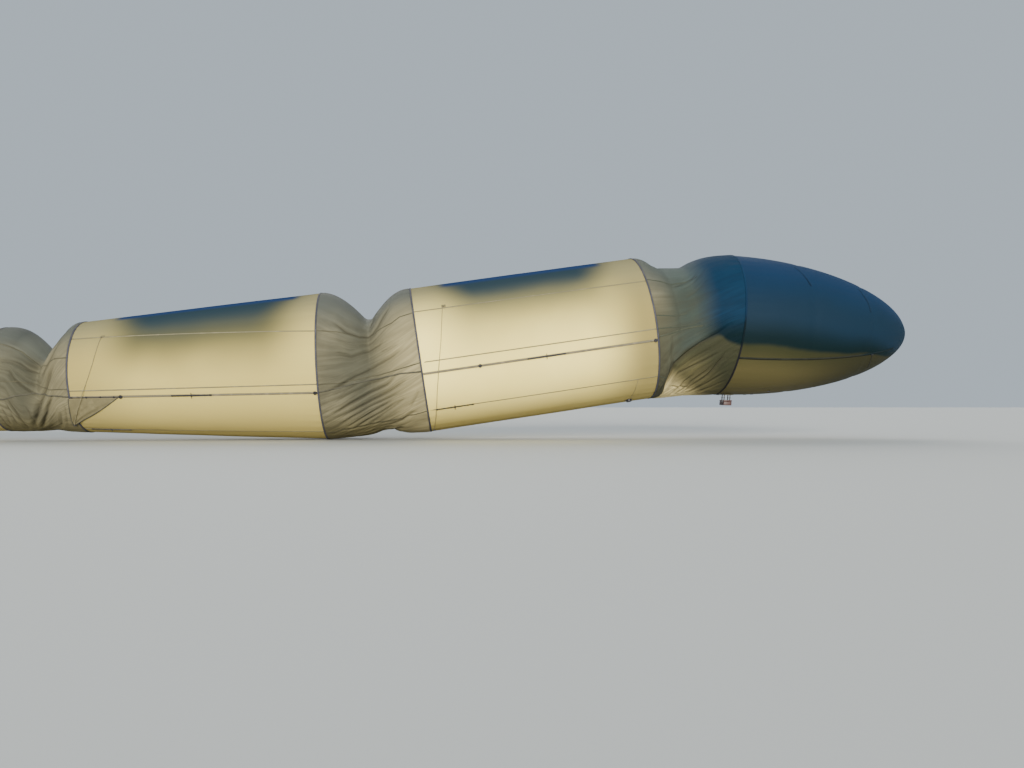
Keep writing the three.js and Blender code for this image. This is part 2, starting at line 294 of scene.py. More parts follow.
# A round part turned about +Z from (radius, height) corners, spun from its first edge.
def turnedPart(name, profile, steps=32):
    startClean()
    bpy.ops.mesh.primitive_plane_add(size=1)
    piece = rename(bpy.context.object, name)
    bpy.ops.object.mode_set(mode="EDIT")
    bpy.ops.mesh.select_mode(type="VERT")
    bpy.ops.mesh.select_all(action="SELECT")
    bpy.ops.mesh.merge(type="CENTER")
    bpy.ops.transform.translate(value=(profile[0][0], 0, profile[0][1]))
    for (r0, z0), (r1, z1) in zip(profile, profile[1:]):
        bpy.ops.mesh.extrude_region_move(TRANSFORM_OT_translate={"value": (r1 - r0, 0, z1 - z0)})
    bpy.ops.mesh.select_all(action="SELECT")
    bpy.ops.mesh.spin(steps=steps, angle=2 * math.pi, center=(0, 0, 0), axis=(0, 0, 1))
    mend(0.0002)
    return smoothed(settle(piece))


def joinInto(name, parts):
    startClean()
    for part in parts:
        part.select_set(True)
    bpy.context.view_layer.objects.active = parts[0]
    if len(parts) > 1:
        bpy.ops.object.join()
    joined = rename(bpy.context.object, name)
    startClean()
    return joined


def copyTo(model, name, matrix):
    copy = model.copy()
    copy.data = model.data.copy()
    copy.data.transform(matrix)
    rename(copy, name)
    bpy.context.collection.objects.link(copy)
    return copy


# Gives a finished piece its material and its body, and hides the node that it stands for. The pieces of a
# sleeve have no body of their own.
def finishPiece(piece, look, body, node=None):
    piece.data.materials.clear()
    piece.data.materials.append(finishes[look])
    if body:
        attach(piece, body)
    if node:
        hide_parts(node)
    return piece


# Numbers that run through shader nodes are handled like plain numbers.
class Wire:
    def __init__(self, finish, socket):
        self.finish, self.socket = finish, socket

    def maths(self, operation, a, b):
        return self.finish.node("ShaderNodeMath", {"operation": operation}, {0: a, 1: b})

    def __add__(self, other):
        return self.maths("ADD", self, other)

    def __sub__(self, other):
        return self.maths("SUBTRACT", self, other)

    def __rsub__(self, other):
        return self.maths("SUBTRACT", other, self)

    def __mul__(self, other):
        return self.maths("MULTIPLY", self, other)

    def __truediv__(self, other):
        return self.maths("DIVIDE", self, other)

    def __abs__(self):
        return self.maths("ABSOLUTE", self, 0)

    def least(self, other):
        return self.maths("MINIMUM", self, other)

    def most(self, other):
        return self.maths("MAXIMUM", self, other)


class Finish:
    def __init__(self, name, **shader):
        self.material = bpy.data.materials.new(name)
        self.material.use_nodes = True
        self.tree = self.material.node_tree
        self.shader = self.tree.nodes["Principled BSDF"]
        for socket, value in shader.items():
            self.shader.inputs[socket.replace("_", " ")].default_value = value

    def node(self, kind, settings=None, values=None, out=0):
        node = self.tree.nodes.new(kind)
        for key, value in (settings or {}).items():
            setattr(node, key, value)
        for key, value in (values or {}).items():
            self.feed(node.inputs[key], value)
        return Wire(self, node.outputs[out])

    def feed(self, socket, value):
        if isinstance(value, Wire):
            self.tree.links.new(value.socket, socket)
        elif socket.type == "RGBA":
            socket.default_value = (*value, 1)
        else:
            socket.default_value = value

    def blend(self, factor, a, b):
        return self.node("ShaderNodeMix", {"data_type": "RGBA"}, {0: factor, 6: a, 7: b}, out=2)

    # From 0 at low to 1 at high, softly. Fade goes the other way.
    def ease(self, value, low, high):
        settings = {"interpolation_type": "SMOOTHSTEP"}
        return self.node("ShaderNodeMapRange", settings, {0: value, 1: low, 2: high, 3: 0.0, 4: 1.0})

    def fade(self, value, low, high):
        return 1.0 - self.ease(value, low, high)

    def place(self, turn=(0, 0, 0)):
        spot = self.node("ShaderNodeTexCoord", out=3)
        return self.node("ShaderNodeMapping", None, {"Vector": spot, "Rotation": turn})

    def cloudy(self, spot, scale, detail=4.0, rough=0.5):
        values = {"Vector": spot, "Scale": scale, "Detail": detail, "Roughness": rough}
        return self.node("ShaderNodeTexNoise", None, values)

    def stripes(self, spot, scale, direction="X"):
        settings = {"wave_type": "BANDS", "bands_direction": direction}
        return self.node("ShaderNodeTexWave", settings, {"Vector": spot, "Scale": scale}, out=1)

    # The raised threads of ripstop film, both ways, as height.
    def threads(self, spot, scale):
        both = self.stripes(spot, scale, "X").most(self.stripes(spot, scale, "Z"))
        return self.ease(both, 0.9, 1.0) * 0.15

    # Where a point lies on a hull or a sleeve: its share of the length, and its degrees from straight up,
    # either way.
    def wrapped(self):
        along, around, _ = self.split(self.node("ShaderNodeUVMap", {"uv_map": "UVMap"}))
        return along, 180.0 - abs((around - 0.5) * 360.0)

    def painted(self, name):
        return self.node("ShaderNodeAttribute", {"attribute_name": name}, out=2)

    def joined(self, x, y, z):
        return self.node("ShaderNodeCombineXYZ", None, {0: x, 1: y, 2: z})

    def split(self, vector):
        node = self.tree.nodes.new("ShaderNodeSeparateXYZ")
        self.tree.links.new(vector.socket, node.inputs[0])
        return [Wire(self, socket) for socket in node.outputs]

    # Degrees read off a drawn line of (share of the length, degrees). The curve holds them as shares of its
    # top.
    def curve(self, value, line, top=200.0):
        curve = self.node("ShaderNodeFloatCurve", None, {"Value": value})
        mapping = curve.socket.node.mapping
        points = mapping.curves[0].points
        for place, degrees in line[1:-1]:
            points.new(place, degrees / top)
        points[0].location, points[-1].location = (0, line[0][1] / top), (1, line[-1][1] / top)
        mapping.update()
        return curve * top

    def bump(self, height, strength, distance):
        return self.node("ShaderNodeBump", None, {"Height": height, "Strength": strength, "Distance": distance})

    def done(self, **links):
        for socket, value in links.items():
            self.feed(self.shader.inputs[socket.replace("_", " ")], value)
        return self.material


# A colour as a photograph shows it, turned into the shader's own light values.
def tone(red, green, blue):
    values = (red / 255, green / 255, blue / 255)
    return tuple(v / 12.92 if v <= 0.04045 else ((v + 0.055) / 1.055) ** 2.4 for v in values)


# Spans are where a tone starts and where it is full: in degrees from straight up, or as shares of the length
# (run).
filmLooks = {
    # cream and deep vary at random; the other tones here are painted shade
    "cream": tone(244, 226, 138), "deep": tone(232, 213, 125), "shadedFilm": tone(160, 146, 86),
    "end": tone(132, 121, 76), "top": tone(120, 116, 88), "low": tone(146, 133, 84),
    "topSpan": (24.0, 86.0), "lowSpan": (110.0, 172.0),
    # how much of each cell's colour is a darker painted shade, so that some cells look more shaded than others
    "shadedFilmShare": {"tail": 0.6, "aft": 0.7, "mid": 0.8, "fore": 0.05},
    # where the painted shade at a cell's end starts, where it is deepest, and how strong it is
    "ends": {
        "tail": (0.3, 0.0, 0.4), "aft": (0.3, 0.0, 0.4), "mid": (0.34, 0.0, 0.7), "fore": (0.7, 0.96, 1.0),
    },
    "clouds": 0.55, "ripstop": 90.0,
}
stripLooks = {
    # the two tones after the strip are its painted shadow, dark and faint
    "strip": tone(34, 52, 85), "shade": tone(37, 52, 61), "faintShade": tone(60, 62, 48),
    # the strip's middle and half length along its cell, and how strong the faint painted shadow under it is
    "mid": (0.53, 0.4, 0.82), "fore": (0.485, 0.375, 0.56),
    "edgeSpan": (20.0, 28.0), "endSoft": 0.05,
    "shadeSpan": (36.0, 82.0), "shadeRun": (0.23, 0.41), "shadeLean": 0.002, "shadeShare": 0.98,
    "faintShadeSpan": (64.0, 114.0), "faintShadeRun": (0.24, 0.46), "driftScale": 0.6, "drift": 14.0,
}


# The blue strip along the top of a cell. The film is thin, so a painted shadow of the strip lies on the cell
# under
# it: first dark, with an edge that drifts, and then faint.
def addStrip(finish, colour, looks, cell, along, angle, spot):
    middle, reach, strength = looks[cell]
    run = abs(along - middle)
    drop = finish.cloudy(spot, looks["driftScale"], 2.0) * looks["drift"] + angle
    # the faint painted shadow of the strip, and then its dark painted shadow
    faintShade = finish.fade(drop, *looks["faintShadeSpan"]) * finish.fade(run, *looks["faintShadeRun"])
    colour = finish.blend(faintShade * strength, colour, looks["faintShade"])
    slant = (drop - looks["shadeSpan"][0]) * looks["shadeLean"] + run
    shade = finish.fade(drop, *looks["shadeSpan"]) * finish.fade(slant, *looks["shadeRun"])
    colour = finish.blend(shade * looks["shadeShare"], colour, looks["shade"])
    strip = finish.fade(angle, *looks["edgeSpan"]) * finish.fade(run, reach - looks["endSoft"], reach)
    return finish.blend(strip, colour, looks["strip"])


# Laminated film: the cream hull, with painted shade above and below its middle, towards one end, and over some
# whole cells.
def filmFinish(name, looks, cell, strips=None):
    finish = Finish(name, Specular_IOR_Level=0.0)
    along, angle = finish.wrapped()
    spot = finish.place()
    clouds = finish.cloudy(spot, looks["clouds"], 3.0)
    colour = finish.blend(finish.ease(clouds, 0.25, 0.8), looks["deep"], looks["cream"])
    # painted shade: whole cells darker by their share
    colour = finish.blend(looks["shadedFilmShare"][cell], colour, looks["shadedFilm"])
    # painted shade towards one end of the cell
    away, full, strength = looks["ends"][cell]
    share = finish.ease(along, away, full) if full > away else finish.fade(along, full, away)
    colour = finish.blend(share * strength, colour, looks["end"])
    # painted shade, darker above and below the middle of the cell
    colour = finish.blend(finish.ease(angle, *looks["topSpan"]), looks["top"], colour)
    colour = finish.blend(finish.ease(angle, *looks["lowSpan"]), colour, looks["low"])
    if strips:
        colour = addStrip(finish, colour, strips, cell, along, angle, spot)
    rough = finish.ease(clouds, 0.2, 0.9) * 0.16 + 0.5
    height = finish.threads(spot, looks["ripstop"]) + finish.cloudy(spot, 3.0, 3.0) * 0.6
    return finish.done(Base_Color=colour, Roughness=rough, Normal=finish.bump(height, 0.22, 0.02))


noseLooks = {
    # The blue is painted shade with a painted reflection of the sky, paler higher up and deeper near its lower
    # edge. The cream below is painted shade on the film, darkest at the edge of the blue and towards the tip.
    "sky": tone(19, 42, 70), "teal": tone(17, 35, 50), "deep": tone(10, 25, 28), "skySpan": (35.0, 95.0),
    "edgeShade": tone(44, 46, 30), "cream": tone(76, 71, 45), "tip": tone(42, 42, 28), "tipRun": (0.2, 0.75),
    # the lower edge of the blue, and how many degrees above or below it the tones change
    "edge": [(0.0, 110), (0.23, 111), (0.39, 114), (0.55, 117), (0.74, 123), (0.86, 138), (0.93, 182)],
    "edgeSpan": (-2.5, 2.5), "deepSpan": (-26.0, -2.0), "creamSpan": (0.0, 26.0), "edgeDrift": 7.0,
    "clouds": 0.7, "ripstop": 90.0,
}


# The nose cell: blue painted shade with a painted sky reflection above, cream film darkened by painted shade
# below, with a soft boundary that drops towards the tip.
def noseFinish(name, looks):
    finish = Finish(name, Specular_IOR_Level=0.05)
    along, angle = finish.wrapped()
    spot = finish.place()
    clouds = finish.cloudy(spot, looks["clouds"])
    below = angle - finish.curve(along, looks["edge"]) + (clouds - 0.5) * looks["edgeDrift"]
    # painted shade on the cream below, darkest at the edge of the blue and towards the tip
    belly = finish.blend(finish.ease(below, *looks["creamSpan"]), looks["edgeShade"], looks["cream"])
    belly = finish.blend(finish.ease(along, *looks["tipRun"]), belly, looks["tip"])
    # painted shade with a painted sky reflection above
    blue = finish.blend(finish.ease(angle + clouds * 20.0, *looks["skySpan"]), looks["sky"], looks["teal"])
    blue = finish.blend(finish.ease(below, *looks["deepSpan"]), blue, looks["deep"])
    colour = finish.blend(finish.ease(below, *looks["edgeSpan"]), blue, belly)
    height = finish.threads(spot, looks["ripstop"]) + clouds * 0.7
    return finish.done(Base_Color=colour, Roughness=clouds * 0.2 + 0.46, Normal=finish.bump(height, 0.2, 0.02))


clothLooks = {
    # cloth and light vary at random; the top, the dim patch and the dark creases are painted shade, and the lit
    # end and the flank are painted light
    "cloth": tone(92, 89, 73), "light": tone(120, 115, 92), "top": tone(76, 80, 76), "topSpan": (40.0, 92.0),
    "low": tone(100, 94, 66), "lowSpan": (128.0, 160.0), "dark": tone(51, 49, 39),
    "dimShade": tone(77, 77, 65), "dimAt": (0.4, 95.0), "dimReach": (0.36, 52.0),
    "lit": tone(150, 141, 107), "litRun": (0.48, 1.0), "litSpan": (25.0, 92.0),
    "litShare": {"tail": 0.3, "aft": 0.25, "mid": 1.0, "fore": 0.0},
    "flankLight": tone(124, 127, 114), "flankAt": 0.5, "flankReach": 0.22, "flankSpan": (40.0, 78.0),
    "flankShare": {"tail": 0.7, "aft": 1.0, "mid": 0.2, "fore": 0.0},
    "weave": 140.0, "streaks": [(16.0, 0.5), (34.0, 0.3), (70.0, 0.2)], "streakSpan": (30.0, 80.0),
}
noseClothLooks = {
    # These tones paint light and shade on the fore sleeve: grey and then blue painted shade, with a painted sky
    # reflection in the blue, above the long fold; lit warm cloth below it, its painted shade, and a painted
    # glow low down.
    "side": tone(72, 72, 58), "sideSpan": (62.0, 102.0),
    "dusk": tone(52, 61, 57), "duskTop": tone(68, 78, 76), "duskSpan": (30.0, 75.0), "duskRun": (0.0, 0.44),
    "blue": tone(18, 42, 64), "blueRun": (0.42, 0.74), "deep": tone(9, 25, 28), "deepSpan": (84.0, 104.0),
    "paintedShade": tone(8, 22, 32),
    # the long fold below which the cloth is painted as lit and warm, and above which it is in painted shade
    "edge": [(0, 178), (0.09, 165), (0.11, 145), (0.17, 124), (0.29, 113.5), (0.43, 109), (0.53, 106),
             (0.64, 103), (0.73, 101.5), (0.82, 105.5), (0.93, 108.5), (1, 110)],
    "edgeSpan": (-1.0, 3.0), "rimSpan": (2.0, 18.0),
    "warm": tone(84, 80, 55), "shade": tone(47, 50, 36),
    "shadeRun": (0.25, 0.72), "shadeFrom": 118.0, "shadeLean": 0.012,
    "glow": tone(232, 214, 156), "glowSpan": (113.0, 148.0), "glowLean": 60.0,
}


# The tones of a sleeve: paler and darker cloth, painted shade over the top and in a dim patch on its side, and
# painted light along one end and over the top.
def clothTones(finish, looks, sleeve, along, angle, clouds):
    colour = finish.blend(finish.ease(clouds, 0.3, 0.75), looks["cloth"], looks["light"])
    (dimAlong, dimAngle), (reach, spread) = looks["dimAt"], looks["dimReach"]
    # painted shade in a patch on the side
    dimShade = 1.4 - (abs(angle - dimAngle) / spread + abs(along - dimAlong) / reach)
    colour = finish.blend(dimShade.most(0.0).least(1.0), colour, looks["dimShade"])
    colour = finish.blend(finish.ease(angle, *looks["lowSpan"]), colour, looks["low"])
    # painted shade over the top
    colour = finish.blend(finish.ease(angle + clouds * 12.0, *looks["topSpan"]), looks["top"], colour)
    # painted light along one end
    lit = finish.ease(along + clouds * 0.06, *looks["litRun"]) * finish.ease(angle, *looks["litSpan"])
    colour = finish.blend(lit * looks["litShare"][sleeve], colour, looks["lit"])
    # painted light on the upper flank near the middle of the sleeve
    flankLight = (1.0 - abs(along - looks["flankAt"]) / looks["flankReach"]).most(0.0)
    flankLight = flankLight * finish.fade(angle, *looks["flankSpan"])
    return finish.blend(flankLight * looks["flankShare"][sleeve], colour, looks["flankLight"])


# At the nose the cloth takes painted shade, grey and then blue, above one long fold, and stays lit and warm
# below it, with painted shade near the fold and forward and a painted glow low down.
def noseTones(finish, looks, colour, dark, along, angle, clouds):
    # painted shade down the side
    colour = finish.blend(finish.ease(angle, *looks["sideSpan"]), colour, looks["side"])
    past = angle - finish.curve(along, looks["edge"])
    slant = along - (angle - looks["shadeFrom"]) * looks["shadeLean"]
    # below the fold: lit warm cloth, in painted shade forward and near the fold, with a painted glow low down
    warm = finish.blend(finish.ease(slant, *looks["shadeRun"]), looks["warm"], looks["shade"])
    warm = finish.blend(finish.ease(past, *looks["rimSpan"]), looks["shade"], warm)
    warm = finish.blend(finish.ease(angle - along * looks["glowLean"], *looks["glowSpan"]), warm, looks["glow"])
    # above the fold: painted shade, grey and then blue
    dusk = finish.blend(finish.ease(angle, *looks["duskSpan"]), looks["duskTop"], looks["dusk"])
    dusk = finish.blend(finish.ease(along + clouds * 0.1, *looks["duskRun"]), colour, dusk)
    lean = finish.ease(along + (angle - 70.0) * -0.0005 + (clouds - 0.5) * 0.08, *looks["blueRun"])
    blue = finish.blend(finish.ease(angle, *looks["deepSpan"]), looks["blue"], looks["deep"])
    below = finish.ease(past, *looks["edgeSpan"])
    colour = finish.blend(below, finish.blend(lean, dusk, blue), warm)
    return colour, finish.blend(lean * (1.0 - below), dark, looks["paintedShade"])


# Thin slack cloth. Streaks run the way the cloth is pulled, and creases come from the folds; both get painted
# shade.
def clothFinish(name, looks, sleeve, nose=None):
    finish = Finish(name, Specular_IOR_Level=0.04)
    along, angle = finish.wrapped()
    creaseShade, flow, run = finish.painted("creaseShade"), finish.painted("flow"), finish.painted("run")
    spot = finish.place()
    clouds = finish.cloudy(spot, 1.4, 5.0)
    colour, dark = clothTones(finish, looks, sleeve, along, angle, clouds), looks["dark"]
    if nose:
        colour, dark = noseTones(finish, nose, colour, dark, along, angle, clouds)
    fine = 0.0
    for scale, weight in looks["streaks"]:
        wave = finish.cloudy(finish.joined(run * 0.7, flow * scale * 0.22, scale), 1.0, 2.0, 0.4)
        fine = (1.0 - abs(wave - 0.5) * 6.0).most(0.0) * weight + fine
    fine = fine * (finish.ease(angle, *looks["streakSpan"]) * 0.8 + 0.2)
    # painted shade in the streaks and in the creases
    colour = finish.blend((fine * 0.5).least(0.6), colour, dark)
    colour = finish.blend(finish.ease(creaseShade, 0.05, 1.0) * 0.62, colour, dark)
    weave = finish.stripes(spot, looks["weave"], "X") + finish.stripes(spot, looks["weave"], "Z")
    height = weave * 0.08 + finish.cloudy(spot, 9.0) * 0.4 - fine * 1.6
    return finish.done(Base_Color=colour, Roughness=clouds * 0.2 + 0.6, Normal=finish.bump(height, 0.4, 0.012))


twillTurn = (0.6, 0.5, 0.8)


# Woven tape or webbing in one colour family. The painted shade, if given, is the dark colour that it turns to,
# and between which two places along the airship.
def tapeFinish(name, colour, worn, weave=220.0, paintedShade=None):
    finish = Finish(name, Specular_IOR_Level=0.12)
    spot = finish.place()
    wear = finish.cloudy(spot, 6.0, 6.0, 0.6)
    shade = finish.blend(finish.ease(wear, 0.45, 0.75), colour, worn)
    # painted shade between the two places
    if paintedShade:
        dark, start, stop = paintedShade
        shade = finish.blend(finish.ease(finish.split(spot)[0], start, stop), shade, dark)
    height = finish.stripes(finish.place(turn=twillTurn), weave, "DIAGONAL") * 0.5 + wear * 0.4
    return finish.done(Base_Color=shade, Roughness=wear * 0.2 + 0.65, Normal=finish.bump(height, 0.35, 0.003))


# Moulded or painted hard parts, scuffed here and there.
def hardFinish(name, colour, worn, rough=0.45, metal=0.0):
    finish = Finish(name, Metallic=metal, Specular_IOR_Level=0.45)
    spot = finish.place()
    wear = finish.cloudy(spot, 14.0, 8.0, 0.65)
    shade = finish.blend(finish.ease(wear, 0.56, 0.72), colour, worn)
    height = finish.cloudy(spot, 60.0, 3.0) * 0.6 + wear * 0.4
    return finish.done(Base_Color=shade, Roughness=wear * 0.3 + (rough - 0.12),
                       Normal=finish.bump(height, 0.15, 0.002))


# Spans of height above the frame's origin.
noseHoopLooks = {
    # low, blue and top paint the shade and sky reflection of the nose cloth on the hoop; black and worn are its
    # own
    "low": tone(7, 19, 24), "blue": tone(12, 33, 54), "top": tone(18, 43, 67), "blueSpan": (1.0, 1.35),
    "topSpan": (1.5, 2.4), "black": tone(16, 16, 20), "worn": tone(32, 32, 38), "blackSpan": (0.46, 0.64),
}


# The nose's own hoop: black below, and above it the blue painted shade and painted sky reflection of the cloth
# over it.
def noseHoopFinish(name, looks):
    finish = Finish(name, Specular_IOR_Level=0.06)
    spot = finish.place()
    height = finish.split(spot)[2]
    wear = finish.cloudy(spot, 6.0, 6.0, 0.6)
    # painted shade with a painted sky reflection, bluer higher up
    blue = finish.blend(finish.ease(height, *looks["blueSpan"]), looks["low"], looks["blue"])
    blue = finish.blend(finish.ease(height, *looks["topSpan"]), blue, looks["top"])
    black = finish.blend(wear, looks["black"], looks["worn"])
    colour = finish.blend(finish.ease(height, *looks["blackSpan"]), black, blue)
    twill = finish.stripes(finish.place(turn=twillTurn), 220.0, "DIAGONAL")
    return finish.done(Base_Color=colour, Roughness=wear * 0.2 + 0.6, Normal=finish.bump(twill, 0.3, 0.003))


finishes = {
    "tailFilm": filmFinish("tail film", filmLooks, "tail"),
    "aftFilm": filmFinish("aft film", filmLooks, "aft"),
    "midFilm": filmFinish("middle film with a blue strip", filmLooks, "mid", stripLooks),
    "foreFilm": filmFinish("fore film with a blue strip", filmLooks, "fore", stripLooks),
    "noseFilm": noseFinish("nose film", noseLooks),
    "tailCloth": clothFinish("tail sleeve cloth", clothLooks, "tail"),
    "aftCloth": clothFinish("aft sleeve cloth", clothLooks, "aft"),
    "midCloth": clothFinish("middle sleeve cloth", clothLooks, "mid"),
    "foreCloth": clothFinish("fore sleeve cloth", clothLooks, "fore", noseClothLooks),
    "hoop": tapeFinish("hoop webbing", tone(56, 57, 66), tone(74, 74, 80)),
    "noseHoop": noseHoopFinish("nose hoop webbing", noseHoopLooks),
    "seam": tapeFinish("seam tape", tone(108, 104, 82), tone(126, 120, 96)),
    # the nose's seam tape is painted in the blue painted shade of the nose
    "noseSeam": tapeFinish("nose seam tape", tone(12, 29, 44), tone(20, 40, 56)),
    "clothSeam": tapeFinish("cloth seam tape", tone(70, 68, 54), tone(84, 81, 64)),
    # the fore sleeve's seam and strap tapes are darker with painted shade, and its seam tape turns to the
    # nose's blue painted shade forward
    "duskSeam": tapeFinish("shadowed seam tape", tone(54, 59, 50), tone(66, 70, 60),
                           paintedShade=(tone(10, 31, 47), 10.75, 11.3)),
    "strap": tapeFinish("rail webbing", tone(104, 99, 82), tone(126, 119, 98)),
    "duskStrap": tapeFinish("shadowed strap webbing", tone(56, 60, 50), tone(68, 71, 60)),
    "clothStrap": tapeFinish("strap webbing", tone(66, 65, 56), tone(82, 80, 68)),
    # the nose rail webbing is dark with painted shade, and turns to the nose's blue painted shade forward
    "noseStrap": tapeFinish("dark rail webbing", tone(30, 32, 27), tone(44, 46, 38),
                            paintedShade=(tone(11, 25, 29), 14.8, 15.2)),
    "rope": tapeFinish("braided rope", tone(116, 110, 86), tone(138, 130, 102), 400.0),
    "patch": tapeFinish("patch cloth", tone(100, 94, 70), tone(114, 107, 80), 300.0),
    "fitting": hardFinish("black fitting", tone(26, 26, 30), tone(70, 70, 74)),
    "box": hardFinish("box paint", tone(52, 24, 20), tone(96, 60, 50)),
    "metal": hardFinish("bare metal", tone(170, 172, 176), tone(120, 122, 126), 0.32, 1.0),
    "blade": hardFinish("black blade", tone(24, 25, 28), tone(48, 50, 54), 0.3),
}
print("finishes made:", len(finishes))


# Blender's grid gives each corner a UV from 0 to 1, which is stretched here to a cell's own length.
def relayUv(piece, along):
    layer = piece.data.uv_layers.active.data
    values = np.empty(len(layer) * 2)
    layer.foreach_get("uv", values)
    values = values.reshape(-1, 2)
    values[:, 0] = along(values[:, 0])
    layer.foreach_set("uv", values.ravel())


hullFacts = {
    "around": 176, "domeRows": 5, "wallRows": 84,
    "seams": [52, 106, 160], "seamDip": 0.007, "seamSpread": 0.09,
    "noseRings": [0.36, 0.71], "ringDip": 0.011, "ringSpread": 0.07, "ringSway": 0.05,
    "bulge": 0.008, "dents": 0.005, "puckers": 46, "pucker": 0.0045, "puckerReach": 0.28,
}


# Stations down a cell: where each grid row goes, as x and radius, from the dome behind to the dome in front.
def hullStations(cell, facts):
    lip, depth = cellFacts["lip"], cellFacts["domeDepth"]
    turn = np.linspace(0, math.pi / 2, facts["domeRows"] + 1)
    behind = [(-lip - depth * cell["rear"] * math.cos(a), cell["rear"] * math.sin(a)) for a in turn[:-1]]
    end = cell["length"]
    if cell["name"] == "nose":
        t = 1 - (1 - np.linspace(0, 1, facts["wallRows"])) ** 1.8  # closer together towards the tip
        wall = [(-lip, cell["rear"])] + [(end * v, float(cell["rear"] * noseRadius(v))) for v in t]
        return np.array(behind + wall)
    t = np.linspace(0, 1, facts["wallRows"])
    t = t - np.sin(2 * math.pi * t) / (2 * math.pi) * 0.6  # closer together towards both hoops
    wall = [(-lip, cell["rear"])] + [(end * v, cell["rear"] + (cell["front"] - cell["rear"]) * v) for v in t]
    wall += [(end + lip, cell["front"])]
    front = [(end + lip + depth * cell["front"] * math.sin(a), cell["front"] * math.cos(a)) for a in turn[1:]]
    return np.array(behind + wall + front)


def hullSkin(cell, facts):
    stations = hullStations(cell, facts)
    rows = np.arange(len(stations))
    seed = cellFacts["names"].index(cell["name"]) * 3.7 + 1
    isNose, end = cell["name"] == "nose", cell["length"]

    def place(along, around):
        row = along * rows[-1]
        x, r = np.interp(row, rows, stations[:, 0]), np.interp(row, rows, stations[:, 1])
        degrees = around * 360
        onWall = smoothStep(-0.01, 0.03, x) * smoothStep(-0.01, 0.03, end - x) * smoothStep(0.1, 0.5, r)
        dip = np.zeros_like(x)
        for seam in facts["seams"]:
            for side in (seam, 360 - seam):
                gap = np.radians(np.abs(degrees - side)) * r
                dip += np.exp(-(gap / facts["seamSpread"]) ** 2) * facts["seamDip"]
        bulge = facts["bulge"] * np.sin(np.pi * np.clip(x / end, 0, 1))
        near = np.exp(-np.clip(x, 0, None) / facts["puckerReach"])
        near += 0 if isNose else np.exp(-np.clip(end - x, 0, None) / facts["puckerReach"])
        waves = np.sin(np.radians(degrees) * facts["puckers"] + 5 * noise2(degrees / 20, x * 0 + 3, seed))
        pucker = facts["pucker"] * near * waves * (0.4 + noise2(degrees / 9, x * 2, seed + 1))
        wrap = np.where(degrees > 180, 360 - degrees, degrees)
        soft = facts["dents"] * (noise2(x * 1.3, wrap / 16, seed + 5) - 0.5)
        for ring in facts["noseRings"] if isNose else []:
            sway = facts["ringSway"] * np.cos(np.radians(degrees))
            dip += facts["ringDip"] * np.exp(-((x - ring * end + sway) / facts["ringSpread"]) ** 2)
        return onCell(cell, x, degrees, r + onWall * (bulge - dip + pucker + soft))

    skin = wrapCloth(cell["name"] + "_skin", len(stations) - 1, facts["around"], place)
    relayUv(skin, lambda u: np.interp(u * rows[-1], rows, stations[:, 0] / end))
    finishPiece(skin, cell["name"] + "Film", cell["name"], cell["name"] + "_envelope")


for cell in cells.values():
    hullSkin(cell, hullFacts)
print("hull skins laid")


# How far the film bulges out between its hoops, and the radius and seat of a thing that lies on it there.
def hullGrowth(cell, x):
    return hullFacts["bulge"] * np.sin(np.pi * np.clip(x / cell["length"], 0, 1))


def filmRadius(cell, x):
    return hullRadius(cell, x) + hullGrowth(cell, x)


def filmSeat(cell, x, degrees, lift):
    return hullSeat(cell, x, degrees, hullGrowth(cell, x) + lift)


# A band that follows the hull along a path of (x from the hoop behind, degrees from straight up).
def hullBand(name, cell, path, width, thickness, lift=0.001, spacing=0.05, rise=None):
    path = np.array(path, float)
    middle = np.interp(path[:, 0], [0, cell["length"]], [cell["rear"], cell["front"] or cell["rear"]])
    legs = np.hypot(np.diff(path[:, 0]), np.radians(np.diff(path[:, 1])) * (middle[1:] + middle[:-1]) / 2)
    run = np.concatenate([[0], np.cumsum(legs)])
    rows = max(2, int(run[-1] / spacing))
    step = 0.01

    def place(along, across):
        s = along * run[-1]
        x, degrees = np.interp(s, run, path[:, 0]), np.interp(s, run, path[:, 1])
        here = np.maximum(hullRadius(cell, x), 0.05)
        dx = np.interp(s + step, run, path[:, 0]) - np.interp(s - step, run, path[:, 0])
        dt = np.radians(np.interp(s + step, run, path[:, 1]) - np.interp(s - step, run, path[:, 1])) * here
        size = np.hypot(dx, dt)
        off = (across - 0.5) * width
        beside = x - off * dt / size
        turned = degrees + np.degrees(off * dx / size / here)
        high = lift + thickness / 2 + (rise(along) if rise else 0)
        return onCell(cell, beside, turned, filmRadius(cell, beside) + high)

    band = wrapCloth(name, rows, 2, place)
    thicken(band, thickness)
    return band


# Seam tapes run the length of each cell, and the cloth panels of the nose have their own.
seamFacts = {
    "width": 0.024, "noseWidth": 0.0168, "thickness": 0.0022, "from": 0.021,
    "tail": [(52, 52), (106, 106), (160, 160)], "aft": [(52, 52), (106, 106), (160, 160)],
    "mid": [(51, 66), (106, 106), (158, 153)], "fore": [(54, 55), (95, 95), (135, 135)], "nose": [],
    "noseArcs": [[(0.30, 30), (0.35, 56)], [(0.65, 39), (0.68, 58), (0.69, 71)]],
}


def seamTapes(cell, facts):
    parts = []
    end = cell["length"]
    isNose = cell["name"] == "nose"
    for side, _ in handSides:
        for rear, front in facts[cell["name"]]:
            path = [(facts["from"], side * rear), (end - facts["from"], side * front)]
            parts.append(hullBand("tape", cell, path, facts["width"], facts["thickness"]))
        for arc in facts["noseArcs"] if isNose else []:
            path = [(x * end, side * degrees) for x, degrees in arc]
            parts.append(hullBand("tape", cell, path, facts["noseWidth"], facts["thickness"]))
    tapes = joinInto(cell["name"] + "_seam_tapes", parts)
    finishPiece(tapes, "noseSeam" if isNose else "seam", cell["name"])


for cell in cells.values():
    seamTapes(cell, seamFacts)
print("seam tapes laid")


